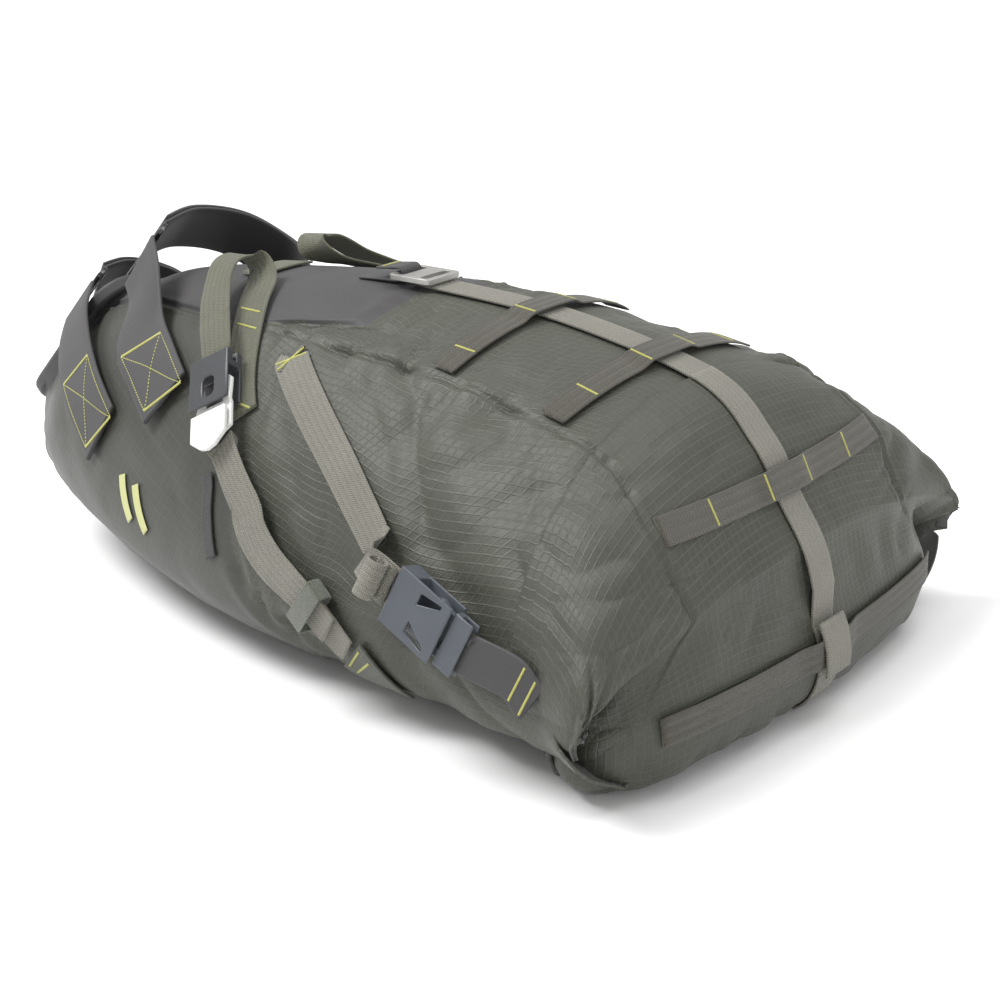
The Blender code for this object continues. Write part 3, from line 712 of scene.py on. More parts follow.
class Sewing:
    """Collects the stitches that ride on one body and makes them as one piece."""

    RADIUS = 0.00034

    def __init__(self, body: str) -> None:
        """Args:
            body: the body that the stitches ride on.
        """
        self.body = body
        self.shape = bmesh.new()

    def stitch(self, start: Vector, end: Vector, out: Vector) -> None:
        """One stitch from start to end, standing a little proud along out."""
        ahead = (end - start).normalized()
        side = ahead.cross(out).normalized() * self.RADIUS
        rise = out.normalized() * self.RADIUS
        tips = [self.shape.verts.new(place - rise * 0.6) for place in (start, end)]
        loops = []
        for share in (0.22, 0.78):
            middle = start.lerp(end, share)
            loops.append([self.shape.verts.new(middle + side * a + rise * b)
                          for a, b in ((1, 0), (0.6, 0.9), (-0.6, 0.9), (-1, 0), (0, -0.8))])
        for j in range(5):
            jj = (j + 1) % 5
            self.shape.faces.new((loops[0][j], loops[0][jj], loops[1][jj], loops[1][j]))
            self.shape.faces.new((tips[0], loops[0][jj], loops[0][j]))
            self.shape.faces.new((tips[1], loops[1][j], loops[1][jj]))

    def row(self, points: list, outs: list, pitch: float = 0.0032, fill: float = 0.72) -> None:
        """Running stitches along points.

        Args:
            points: the way that the row takes.
            outs: the direction out of the cloth at each point.
            pitch: distance from one stitch to the next.
            fill: share of the pitch that the thread shows.
        """
        lengths = [0.0]
        for one, two in zip(points, points[1:]):
            lengths.append(lengths[-1] + (two - one).length)
        count = max(int(lengths[-1] / pitch), 1)

        def at(distance: float) -> tuple:
            """Point and direction out at a distance along the row."""
            k = max(i for i, length in enumerate(lengths[:-1]) if length <= distance + 1e-9)
            share = (distance - lengths[k]) / max(lengths[k + 1] - lengths[k], 1e-9)
            return points[k].lerp(points[k + 1], share), outs[k].lerp(outs[k + 1], share)

        for k in range(count):
            start, out = at(lengths[-1] * (k + 0.5 - fill / 2) / count)
            end, _ = at(lengths[-1] * (k + 0.5 + fill / 2) / count)
            self.stitch(start, end, out)

    def bar(self, middle: Vector, across: Vector, out: Vector, length: float, thick: float = 0.0016) -> None:
        """Bar tack: close short stitches side by side.

        Args:
            middle: the bar's middle.
            across: the way that the bar runs.
            out: the direction out of the strap.
            length: the bar's length.
            thick: the bar's width.
        """
        across = across.normalized()
        over = across.cross(out).normalized() * thick / 2
        count = max(int(length / (self.RADIUS * 1.7)), 2)
        for k in range(count):
            spot = middle + across * length * ((k + 0.5) / count - 0.5)
            self.stitch(spot - over, spot + over, out)

    def tack(self, run: Run, k: int, thick: float, length: float, centre: Vector = None) -> None:
        """Bar tack across a strap at one of its points.

        Args:
            run: the strap's way.
            k: the point's number.
            thick: the strap's thickness.
            length: the bar's length.
            centre: a place that the bar faces away from, or None to keep to the strap's upper face.
        """
        point, out = run.points[k], run.outs()[k]
        if centre is not None:
            out = facing(out, point - centre)
        self.bar(point + out * thick * 0.55, run.sides[k], out, length)

    def finish(self) -> bpy.types.Object:
        """Makes the collected stitches into one piece on the body."""
        bmesh.ops.recalc_face_normals(self.shape, faces=self.shape.faces)
        return settle(item_from("thread_on_" + self.body, self.shape), "thread", self.body)


SEWING: dict = {}


def sewing_on(body: str) -> Sewing:
    """The collector of stitches for a body, made once."""
    if body not in SEWING:
        SEWING[body] = Sewing(body)
    return SEWING[body]


# ------------------------------------------------------------------------------ ways over the cloth
WEB_THICK, BAND_THICK = 1.4 * MM, 1.2 * MM
LIFT = 0.6 * MM
MID_HEIGHT = Vector((0, 0, 0.09))


def over_skin(side: Side, stops: tuple, count: int, thick: float, crosswise: bool = True) -> Run:
    """Way of a strap that lies on the cloth.

    Args:
        side: the side of the bag.
        stops: (s, u, lift) stops, given for the left side, with the lift to the near face.
        count: points on the way.
        thick: the strap's thickness.
        crosswise: True where its width is square to its run, False where it lies along the bag.

    Returns:
        The way.
    """
    spots = along_curve(stops, count)
    points = [FORM.side_skin(side, s, u, lift + thick / 2) for s, u, lift in spots]
    if not crosswise:
        return Run(points, [mirrored(side, FORM.along(s, u)) for s, u, _ in spots])
    outs = [mirrored(side, FORM.outward(s, u)) for s, u, _ in spots]
    last = count - 1
    return Run(points, [out.cross(points[min(k + 1, last)] - points[max(k - 1, 0)]).normalized()
                        for k, out in enumerate(outs)])


class Press:
    """Remembers where straps lie, so that the cloth is held flat under them."""

    def __init__(self) -> None:
        self.spots: list = []

    def note(self, run: Run, half: float) -> None:
        """Adds a strap of that half width."""
        for point, side in zip(run.points, run.sides):
            across = side.normalized()
            self.spots += [point + across * half * share for share in (-0.8, -0.3, 0.3, 0.8)]

    def freedom(self, places: np.ndarray) -> np.ndarray:
        """0 under a strap, rising to 1 away from every strap.

        Args:
            places: points of the cloth.

        Returns:
            How free the cloth is at each.
        """
        tree = KDTree(len(self.spots))
        for k, spot in enumerate(self.spots):
            tree.insert(spot, k)
        tree.balance()
        flat = places.reshape(-1, 3)
        away = np.array([tree.find(point)[2] for point in flat.tolist()]).reshape(places.shape[:-1])
        return ease(away, 0.005, 0.020)


PRESS = Press()


# ------------------------------------------------------------------------------ shell cloth
@dataclass
class Shell:
    """The stuffed body from nose to mouth: one sheet with its seams, puckers and folds."""

    rows_nose: int = 90
    rows_body: int = 110
    column_step: float = 1.25       # degrees between columns, away from the seams
    seam_clear: float = 3.2         # degrees beside a seam that have columns of their own
    s_metres: float = 0.52          # length of the bag's side for s from 0 to 1
    tuck_in: float = 0.017
    tuck_depth: float = 5.0 * MM
    tail_length: float = 0.105
    seam_depth: float = 1.6 * MM
    seam_reach: float = 4.2 * MM
    ridge_height: float = 1.1 * MM
    ridge_at: float = 5.2 * MM
    ridge_reach: float = 1.6 * MM
    wall: float = 1.4 * MM
    pucker: float = 6.2 * MM        # heights of the cloth's folds, from the seams' puckers to its grain
    fold: float = 4.4 * MM
    deep_fold: float = 3.6 * MM
    crumple: float = 1.4 * MM
    swell: float = 3.5 * MM
    round_pucker: float = 1.6 * MM
    grain: float = 0.3 * MM
    lumps: Lumps = field(default_factory=lambda: Lumps(11))
    fine: Lumps = field(default_factory=lambda: Lumps(29))

    def columns(self) -> np.ndarray:
        """Degrees of the columns, closer together beside the seams."""
        seams = FORM.seams()
        steps = (0.35, 0.8, 1.5, 2.4)
        found = []
        for start, end in zip(seams, (*seams[1:], seams[0] + 360)):
            found += [start, *(start + step for step in steps)]
            count = int((end - start - 2 * steps[-1]) / self.column_step)
            found += list(np.linspace(start + self.seam_clear, end - self.seam_clear, count))
            found += [end - step for step in reversed(steps)]
        return np.array(found)

    def ends(self, u: np.ndarray) -> np.ndarray:
        """Where the sheet ends: tucked under the hood above, and out to the roll below."""
        below = ease(degrees_from_top(u), 97.0, 108.0)
        return FORM.mouth + self.tuck_in + self.tail_length * below

    def grid(self) -> tuple:
        """Places (s, u) of every point of the sheet, with the seam on one row."""
        u = self.columns()
        seam, end = FORM.nose_seam(u), self.ends(u)
        nose = np.linspace(0.0, 1.0, self.rows_nose)[:, None]
        body = np.linspace(0.0, 1.0, self.rows_body)[1:, None]
        s = np.concatenate((FORM.front + (seam - FORM.front) * nose, seam + (end - seam) * body))
        return s, np.broadcast_to(u, s.shape)

    def seam_distance(self, s: np.ndarray, u: np.ndarray, places: np.ndarray) -> np.ndarray:
        """Distance in metres to the nearest sewn seam."""
        half = np.abs(places[..., 1]).max(axis=1, keepdims=True) + 0.02
        away = [np.abs(s - FORM.nose_seam(u)) * self.s_metres]
        for seam in FORM.seams():
            turn = np.abs((u - seam + 180) % 360 - 180)
            away.append(np.radians(turn) * half)
        return np.minimum.reduce(away)

    def relief(self, s: np.ndarray, u: np.ndarray, places: np.ndarray) -> np.ndarray:
        """Height of the crumpled cloth over the bare form, in metres.

        Args:
            s: places along the bag.
            u: degrees round it.
            places: the bare points.

        Returns:
            The heights.
        """
        x, y, z = places[..., 0], places[..., 1], places[..., 2]
        stiff = ease(s - FORM.nose_seam(u), -0.004, 0.010)
        away = self.seam_distance(s, u, places)
        up = ease(z, 0.004, 0.035)
        puckers = self.fine.folds(x / 0.017, y / 0.075 + away * 9, z / 0.060) + 0.05
        round_nose = self.fine.folds(x / 0.085, y / 0.020, z / 0.018) + 0.05
        near = np.exp(-away / 0.022)
        slant = x * 0.80 - z * 0.60
        cross = x * 0.60 + z * 0.80
        folds = self.lumps.folds(slant / 0.120 + 3, y / 0.090, cross / 0.030)
        deep = self.lumps.folds(slant / 0.050, y / 0.060, cross / 0.060 + 7)
        soft = self.lumps.soft(places / 0.075 + 5)
        tiny = self.fine.soft(places / 0.009)
        top = ease(np.sin(np.radians(u)), 0.55, 0.80)
        body = self.pucker * near * puckers + self.fold * (1 - 0.6 * top) * folds
        body += self.deep_fold * (1 - 0.4 * top) * deep + self.swell * soft + self.grain * tiny
        body += self.crumple * self.fine.folds(x / 0.034 + 4, y / 0.030 + 4, z / 0.022 + 4)
        body += self.round_pucker * near * round_nose
        nose = 0.0014 * near * round_nose + 0.0012 * soft + 0.0009 * folds + 0.0006 * near * puckers
        return (nose + (body - nose) * stiff) * (0.25 + 0.75 * up)

    def build(self) -> bpy.types.Object:
        """The body's sheet, in its three cloths."""
        s, u = self.grid()
        places = FORM.points(s, u)
        normals = grid_normals(places, wrap=True)
        away = self.seam_distance(s, u, places)
        free = PRESS.freedom(places)
        height = self.relief(s, u, places) * free - 0.4 * MM * (1 - free)
        seam = -self.seam_depth * np.exp(-(away / self.seam_reach) ** 2)
        ridge = self.ridge_height * np.exp(-((away - self.ridge_at) / self.ridge_reach) ** 2)
        height = height + (seam + ridge) * (0.3 + 0.7 * free)
        tucked = ease(s - FORM.mouth, 0.000, 0.012) * ease(-degrees_from_top(u), -104.0, -98.0)
        height = height - self.tuck_depth * tucked
        places = places + normals * height[..., None]
        places[..., 2] = np.maximum(places[..., 2], 0.3 * MM)
        item = item_from_grid("shell_cloth", places, wrap=True)
        for key in ("nose", "shell", "hypalon"):
            item.data.materials.append(finish_of(key))
        middle_s, middle_u = s[:-1] + np.diff(s, axis=0) / 2, u[:-1] + 0.5
        nose = middle_s < FORM.nose_seam(middle_u)
        top = degrees_from_top(middle_u) < FORM.top_seam
        index = np.where(nose, np.where(top, 2, 0), 1)
        item.data.polygons.foreach_set("material_index", index.astype(np.int32).ravel())
        thicken(item, self.wall, "lining")
        return settle(item, "shell", ROOT, (
            "nose_left_panel", "nose_right_panel", "nose_top_panel", "left_side_panel", "right_side_panel",
            "top_panel", "bottom_panel"))


def grid_normals(places: np.ndarray, wrap: bool) -> np.ndarray:
    """Unit normals of a grid of points, out of the bag."""
    down = np.gradient(places, axis=0)
    if wrap:
        over = np.roll(places, -1, axis=1) - np.roll(places, 1, axis=1)
    else:
        over = np.gradient(places, axis=1)
    out = np.cross(over, down)
    return out / np.maximum(np.linalg.norm(out, axis=-1, keepdims=True), 1e-9)


@dataclass
class Hood:
    """The rear hood, its gathered ears and the roll under its rim."""

    rows: int = 130
    cols: int = 230
    ear_s: float = 0.765            # middle of the bunched ear along the bag
    ear_turn: float = 96.0          # and its degrees from the top
    ear_swell: float = 3.0 * MM
    swirl_s: float = 0.745          # centre that the ear's folds run out from
    swirl_turn: float = 92.0
    swirl_depth: float = 4.2 * MM
    pucker: float = 3.4 * MM        # heights of the folds, as on the shell
    swag: float = 2.2 * MM
    swell: float = 4.0 * MM
    grain: float = 0.3 * MM
    seam_depth: float = 1.7 * MM
    seam_reach: float = 3.6 * MM
    ridge_height: float = 1.2 * MM
    ridge_at: float = 4.6 * MM
    ridge_reach: float = 1.6 * MM
    hem: float = 1.2 * MM
    wall: float = 1.3 * MM
    lay_from: float = 0.80
    ear_at: float = 0.158
    lumps: Lumps = field(default_factory=lambda: Lumps(47))
    fine: Lumps = field(default_factory=lambda: Lumps(53))
    roll_path: tuple = (
        (0.226, -0.134, 0.0200, 0.015, 0.0100),
        (0.243, -0.138, 0.0260, 0.023, 0.0140),
        (0.257, -0.112, 0.0310, 0.028, 0.0165),
        (0.262, -0.065, 0.0310, 0.028, 0.0180),
        (0.264, 0.000, 0.0300, 0.027, 0.0185),
    )

    def build(self) -> bpy.types.Object:
        """The hood's sheet."""
        u = np.linspace(-14.0, 194.0, self.cols)
        start, end = FORM.hood_start - 0.006, FORM.rim(np.clip(u, -10, 190))
        share = np.linspace(0.0, 1.0, self.rows)[:, None]
        s = start + (end + 0.012 - start) * share
        u = np.broadcast_to(u, s.shape)
        bare = FORM.points(s, u)
        normals = grid_normals(bare, wrap=False)
        x, y, z = bare[..., 0], bare[..., 1], bare[..., 2]
        free = PRESS.freedom(bare)
        side = np.maximum(ease(u, 128.0, 132.0), ease(-u, -52.0, -48.0))
        turn = np.abs(u - 90)
        seam_away = np.radians(np.abs(turn - FORM.top_seam)) * 0.16
        near = np.exp(-seam_away / 0.020)
        puckers = self.fine.folds(x / 0.016, y / 0.090, z / 0.015) + 0.05
        swags = self.lumps.folds(x / 0.060, np.abs(y) / 0.045 + 2, z / 0.020 + 0.6 * np.sin(y / 0.03))
        ear = np.exp(-((s - self.ear_s) / 0.085) ** 2 - ((turn - self.ear_turn) / 22) ** 2)
        over, ahead = (turn - self.swirl_turn) / 18, (s - self.swirl_s) / 0.070
        swirl = np.abs(np.sin(np.arctan2(over, ahead) * 2.5 + np.hypot(over, ahead) * 2.2)) - 0.6
        soft = self.lumps.soft(bare / 0.060 + 2)
        height = self.pucker * near * puckers + self.swag * swags * (0.35 + 0.65 * side)
        height = height + self.swell * soft * (0.4 + 0.6 * side)
        height = height + ear * (self.ear_swell + self.swirl_depth * swirl)
        height = height * free + self.hem
        height = height - self.seam_depth * np.exp(-(seam_away / self.seam_reach) ** 2) * (0.3 + 0.7 * free)
        height = height + self.ridge_height * np.exp(-((seam_away - self.ridge_at) / self.ridge_reach) ** 2)
        height = height + self.grain * self.fine.soft(bare / 0.008)
        places = bare + normals * height[..., None]
        places = self.lay_on_roll(places, np.broadcast_to(share, s.shape))
        places[..., 2] = np.maximum(places[..., 2], 0.6 * MM)
        item = item_from_grid("hood_cloth", places)
        item.data.materials.append(finish_of("hood"))
        thicken(item, self.wall, "lining")
        return settle(item, "hood", FLAP, ("rear_flap",))

    def lay_on_roll(self, places: np.ndarray, share: np.ndarray) -> np.ndarray:
        """Draws the hood's lower edge down over the roll.

        Args:
            places: the hood's points.
            share: 0 at the hood's front edge and 1 at its rim, for each row.

        Returns:
            The points, with the lowest rows lying on the roll.
        """
        laid = places.copy()
        rows = np.flatnonzero(share[:, 0] > self.lay_from)
        for i in rows:
            q = (share[i, 0] - self.lay_from) / (1 - self.lay_from)
            angle = 78 - 128 * q
            for j in range(places.shape[1]):
                y = places[i, j, 1]
                place = max(min(y / self.ear_at, 1.0), -1.0)
                target = np.array(self.roll_point(place, angle, 0.0010))
                hold = min(q * 2.2, 1.0)
                hold = hold * hold * (3 - 2 * hold)
                laid[i, j] = places[i, j] * (1 - hold) + target * hold
        crumple = self.fine.creases(laid / np.array((0.05, 0.024, 0.030))) - 0.6
        lower = ease(share, self.lay_from, self.lay_from + 0.08) * PRESS.freedom(laid)
        return laid + grid_normals(laid, wrap=False) * (0.0034 * crumple * lower)[..., None]

    def roll_point(self, place: float, angle: float, lift: float = 0.0) -> Vector:
        """Point on the roll.

        Args:
            place: -1 at the left ear, 0 in the middle and 1 at the right ear.
            angle: degrees up from level, round the roll.
            lift: height over its cloth.

        Returns:
            The point.
        """
        rows = [Vector(row) for row in self.roll_path]
        row = smooth(rows, 1 - abs(place))
        ahead = smooth(rows, 1 - abs(place) + 0.01) - smooth(rows, 1 - abs(place) - 0.01)
        out = Vector((ahead.y, -ahead.x, 0)).normalized()
        if out.x < 0 and abs(out.x) > abs(out.y):
            out = -out
        if row.y < -0.05 and out.y > 0:
            out = -out
        turn = math.radians(angle)
        point = Vector(row[:3]) + out * (row[4] + lift) * math.cos(turn)
        point.z += (row[3] + lift) * math.sin(turn)
        return mirrored(Side.LEFT if place <= 0 else Side.RIGHT, point)

    def build_roll(self) -> bpy.types.Object:
        """The rolled closure: a flattened, creased coil of cloth."""
        rows, cols = 170, 60
        bare = np.array([[self.roll_point(2 * i / (rows - 1) - 1, 360 * j / cols) for j in range(cols)]
                         for i in range(rows)])
        middle = bare.mean(axis=1, keepdims=True)
        out = bare - middle
        out /= np.maximum(np.linalg.norm(out, axis=-1, keepdims=True), 1e-6)
        turn = np.linspace(0, 360, cols, endpoint=False)[None, :]
        creases = self.lumps.creases(bare / np.array((0.022, 0.075, 0.017)) + 9) - 0.6
        wrap = -0.0022 * np.exp(-((turn - 215) / 9) ** 2)
        height = (0.0030 * creases + 0.0018 * self.lumps.soft(bare / 0.03)) * PRESS.freedom(bare) + wrap
        places = bare + out * height[..., None]
        places[..., 2] = np.maximum(places[..., 2], 0.4 * MM)
        places[0] = places[0].mean(axis=0) * 0.8 + places[0] * 0.2
        places[-1] = places[-1].mean(axis=0) * 0.8 + places[-1] * 0.2
        item = item_from_grid("roll_cloth", places, wrap=True)
        item.data.materials.append(finish_of("hood"))
        shape = bmesh.new()
        shape.from_mesh(item.data)
        bmesh.ops.holes_fill(shape, edges=[edge for edge in shape.edges if edge.is_boundary], sides=0)
        shape.to_mesh(item.data)
        shape.free()
        return settle(item, "hood", FLAP, ("closure_roll",))


# ------------------------------------------------------------------------------ straps
@dataclass
class Bands:
    """Four lash bands across the top, and the centre strap under them."""

    width: float = 15 * MM
    strap_width: float = 20 * MM
    reach: float = 37.0
    under: float = LIFT + 0.0003
    over: float = LIFT + WEB_THICK + 1.5 * MM
    tacks: tuple = (-0.0175, 0.0175, -0.060, 0.060)     # y of the bar tacks on each band
    hood: Hood = field(default_factory=Hood)

    def lift(self, y: float) -> float:
        """Height of a band's near face: on the cloth, and over the centre strap."""
        step = min(max((0.026 - abs(y)) / 0.011, 0.0), 1.0)
        return self.under + (self.over - self.under) * step * step * (3 - 2 * step)

    def run(self, edge_s: float, middle_s: float) -> Run:
        """Way of a band from seam to seam, whose middle may sit further along the bag."""
        points, sides = [], []
        for k in range(61):
            turn = 2 * k / 60 - 1
            u = 90 - self.reach * turn
            s = middle_s + (edge_s - middle_s) * turn * turn
            lift = self.lift(FORM.point(s, u).y) + BAND_THICK / 2
            points.append(FORM.skin(s, u, lift + 0.0006))
            sides.append(FORM.along(s, u))
        return Run(points, sides)

    def low_run(self) -> Run:
        """Way of the last band, round the roll."""
        points = []
        for k in range(61):
            stop = -0.56 + 1.12 * k / 60
            level = self.hood.roll_point(stop, 10)
            points.append(self.hood.roll_point(stop, 10, self.lift(level.y) + 0.0010 + BAND_THICK / 2))
        return Run(points, [Vector((0, 0, 1))] * len(points))

    def runs(self) -> dict:
        """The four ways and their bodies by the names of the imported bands."""
        return {"lash_band_1": (self.run(0.434, 0.440), ROOT), "lash_band_2": (self.run(0.514, 0.521), ROOT),
                "lash_band_3": (self.run(0.690, 0.742), FLAP), "lash_band_4": (self.low_run(), FLAP)}

    def front_run(self) -> Run:
        """Way of the centre strap over the body."""
        stops = ((0.350, 90, 0.0046), (0.362, 90, 0.0016), (0.40, 90, LIFT), (0.45, 90, LIFT),
                 (0.50, 90, LIFT), (FORM.mouth + 0.004, 90, LIFT + 0.0006))
        return over_skin(Side.LEFT, stops, 50, WEB_THICK)

    def rear_run(self) -> Run:
        """Way of the centre strap down the hood and under the roll."""
        start, length = FORM.hood_start - 0.006, FORM.hood_end - 0.553
        lift = 1.6 * MM + WEB_THICK / 2
        points = [FORM.skin(start + length * k / 44, 90, lift) for k in range(45)]
        lift = 1.2 * MM + WEB_THICK / 2
        points += [self.hood.roll_point(0, angle, lift) for angle in range(42, -74, -6)]
        points = along_curve(points, 90)
        return Run(points, [Vector((0, 1, 0))] * len(points))

    def note(self) -> None:
        """Tells the cloth where these straps press."""
        for run, _ in self.runs().values():
            PRESS.note(run, self.width / 2)
        for run in (self.front_run(), self.rear_run()):
            PRESS.note(run, self.strap_width / 2)

    def build(self) -> None:
        """Makes the bands, the centre strap and its tail, with their bar tacks."""
        strap = Strap(self.strap_width, WEB_THICK)
        for word, run, body in (("front", self.front_run(), ROOT), ("rear", self.rear_run(), FLAP)):
            settle(strap.weave("centre_webbing_" + word, run), "webbing", body, ("centre_strap_" + word,))
        band = Strap(self.width, BAND_THICK)
        for name, (run, body) in self.runs().items():
            settle(band.weave(name + "_woven", run), "band", body, (name,))
            for k in range(1, len(run.points) - 1):
                y, before = run.points[k].y, run.points[k - 1].y
                for stop in self.tacks:
                    if (before - stop) * (y - stop) <= 0:
                        sewing_on(body).tack(run, k, BAND_THICK, self.width * 0.88)
        tab = [self.hood.roll_point(0, angle, 0.0072) for angle in (38, 30, 22, 12, 0, -10)]
        points = along_curve(tab, 24)
        keeper = Strap(self.strap_width + 3 * MM, 1.6 * MM)
        settle(keeper.weave("tail_keeper_woven", Run(points, [Vector((0, 1, 0))] * 24)), "webbing", FLAP,
               ("centre_tail_keeper",))


@dataclass
class Compression:
    """One side's compression strap, its coiled tail and the tab that its buckle is sewn to."""

    side: Side
    width: float = 20 * MM
    ahead: tuple = (0.925, -0.14, -0.352)
    buckle_at: tuple = (0.478, 181.0, 0.0055)
    buckle_thick: float = 11.2 * MM
    socket_length: float = 36 * MM

    def place(self, shift: float = 0.0) -> Matrix:
        """Frame of the buckle: X towards the closure and Z out of the bag."""
        s, u, gap = self.buckle_at
        ahead = Vector(self.ahead).normalized()
        origin = FORM.skin(s, u, gap + self.buckle_thick / 2) + ahead * shift
        return frame_at(mirrored(self.side, origin), mirrored(self.side, ahead),
                        mirrored(self.side, FORM.outward(s, u)))

    def run(self) -> Run:
        """Way of the strap from its seam into the buckle."""
        stops = ((0.334, 137.5, LIFT), (0.338, 139, LIFT), (0.372, 150, LIFT), (0.405, 161, LIFT),
                 (0.432, 170.5, 0.0012), (0.452, 176.5, 0.0035))
        lying = over_skin(self.side, stops, 41, WEB_THICK)
        place = self.place()
        across = place.to_3x3() @ Vector((0, 1, 0))
        sides = [facing(side, across) for side in lying.sides] + [across] * 4
        held = [place @ Vector((along, 0, 0)) for along in (-0.026, -0.013, 0.0, 0.009)]
        return Run(lying.points + held, sides).finer(2)

    def note(self) -> None:
        """Tells the cloth where this strap presses."""
        PRESS.note(self.run(), self.width / 2)

    def build(self) -> None:
        """Makes the strap, its coil and the tab, with the sewing at both ends."""
        word, place = self.side.word, self.place()
        run = self.run()
        strap = Strap(self.width, WEB_THICK)
        settle(strap.weave("compression_webbing_" + word, run), "webbing", ROOT,
               ("compression_strap_" + word,))
        for k in (3, 7):
            sewing_on(ROOT).tack(run, k, WEB_THICK, self.width * 0.9, MID_HEIGHT)
        coil = [Vector((-0.003, 0, 0.0031))]
        for k in range(67):
            turn = math.radians(-90 + 200 * k / 33)
            radius = 0.0085 - 0.00011 * k
            coil.append(Vector((radius * 0.9 * math.cos(turn) - 0.013, 0.0005 * math.sin(k / 9),
                                radius * 0.62 * math.sin(turn) + 0.0085)))
        across = place.to_3x3() @ Vector((0, 1, 0))
        settle(Strap(self.width, WEB_THICK * 0.85).weave(
            "strap_coil_" + word, Run([place @ point for point in coil], [across] * len(coil))),
            "webbing", "compression_clip_" + word, ("strap_tail_roll_" + word,))
        male = self.place(self.socket_length + 0.0006)
        held = [male @ Vector((along, 0, 0)) for along in (0.0050, 0.0090, 0.0135)]
        lay = [FORM.side_skin(self.side, s, u, lift)
               for s, u, lift in ((0.5655, 185.5, 0.0058), (0.580, 187.0, 0.0045), (0.592, 188.5, 0.0030))]
        points = along_curve(held + lay, 30)
        tab = Strap(21 * MM, 1.8 * MM).weave("buckle_tab_" + word, Run(points, [across] * 30))
        settle(tab, "hypalon", FLAP, ("compression_tab_" + word,))
        out = place.to_3x3() @ Vector((0, 0, 1))
        for k in (20, 26):
            sewing_on(FLAP).bar(points[k] + out * MM, across, out, 0.018)


@dataclass
class RailStrap:
    """One side's loop over the saddle rail and the doubled webbing that runs back from its buckle."""

    side: Side
    width: float = 20 * MM
    thick: float = 1.6 * MM
    ahead: tuple = (0.49, -0.57, -0.66)
    buckle_at: tuple = (0.284, 147.0, 0.0050)
    buckle_thick: float = 11.2 * MM

    def place(self) -> Matrix:
        """Frame of the rail buckle."""
        s, u, gap = self.buckle_at
        out = FORM.outward(s + 0.02, u + 8)
        origin = FORM.skin(s, u, gap + self.buckle_thick / 2)
        return frame_at(mirrored(self.side, origin), mirrored(self.side, Vector(self.ahead)),
                        mirrored(self.side, out))

    def loop_run(self) -> Run:
        """Way of the loop: sewn up the nose, round the rail and back down into the buckle."""
        stops = ((0.324, 158, LIFT), (0.302, 148, LIFT), (0.276, 135, LIFT), (0.248, 121, 0.0016),
                 (0.226, 109, 0.0030), (0.210, 104, 0.0090), (0.204, 107, 0.0155), (0.206, 114, 0.0170),
                 (0.222, 125, 0.0120), (0.248, 135, 0.0100))
        lying = over_skin(self.side, stops, 80, self.thick, crosswise=False)
        place = self.place()
        points = lying.points + [place @ Vector((along, 0, 0)) for along in (-0.006, 0.004)]
        sides = lying.sides + [place.to_3x3() @ Vector((0, self.side.value, 0))] * 2
        return Run(points, [facing(side, Vector((1, 0, 0))) for side in sides])

    def back_run(self) -> Run:
        """Way of the doubled webbing from the wing tab to the buckle's bar and back."""
        lower = ((0.437, 203, 0.0026), (0.425, 197, 0.0028), (0.413, 192.5, 0.0030), (0.398, 189.5, 0.0026),
                 (0.378, 186, 0.0018), (0.352, 179, 0.0020), (0.330, 170.5, 0.0028))
        upper = ((0.3262, 168.6, 0.0042), (0.3285, 168.3, 0.0060), (0.356, 177.5, 0.0052),
                 (0.382, 184.4, 0.0050), (0.400, 188.4, 0.0050), (0.415, 192.0, 0.0052),
                 (0.428, 197.0, 0.0052))
        spots = along_curve(lower, 50) + along_curve(upper, 50)
        points = [FORM.side_skin(self.side, s, u, lift + WEB_THICK / 2) for s, u, lift in spots]
        sides = []
        for s, u, _ in spots:
            run = FORM.skin(s + 0.0066, u + 2) - FORM.skin(s - 0.0066, u - 2)
            sides.append(mirrored(self.side, FORM.outward(s, u).cross(run).normalized()))
        return Run(points, sides)

    def wing_run(self) -> Run:
        """Way of the tab that anchors the webbing low on the side."""
        stops = ((0.4375, 205.5, LIFT), (0.444, 210, LIFT), (0.450, 216, LIFT), (0.455, 224, LIFT))
        return over_skin(self.side, stops, 20, 1.6 * MM)

    def note(self) -> None:
        """Tells the cloth where these straps press."""
        loop = self.loop_run()
        PRESS.note(Run(loop.points[:36], loop.sides[:36]), self.width / 2)
        back = self.back_run()
        PRESS.note(Run(back.points[:50], back.sides[:50]), 0.009)
        PRESS.note(self.wing_run(), 0.015)

    def build(self) -> None:
        """Makes the loop, the doubled webbing and the wing tab, with their sewing."""
        word = self.side.word
        loop = self.loop_run()
        settle(Strap(self.width, self.thick).weave("rail_loop_" + word, loop), "rail_web", ROOT,
               ("rail_strap_" + word,))
        settle(Strap(18 * MM, WEB_THICK).weave("rail_return_" + word, self.back_run()), "webbing", ROOT,
               ("rail_webbing_" + word,))
        wing = self.wing_run()
        settle(Strap(30 * MM, 1.6 * MM).weave("wing_cloth_" + word, wing), "shell", ROOT,
               ("wing_tab_" + word,))
        for run, stops, width in ((loop, (3, 20, 24), self.width), (wing, (2, 6), 0.022)):
            for k in stops:
                centre = Vector((run.points[k].x, 0, MID_HEIGHT.z))
                sewing_on(ROOT).tack(run, k, self.thick, width * 0.88, centre)


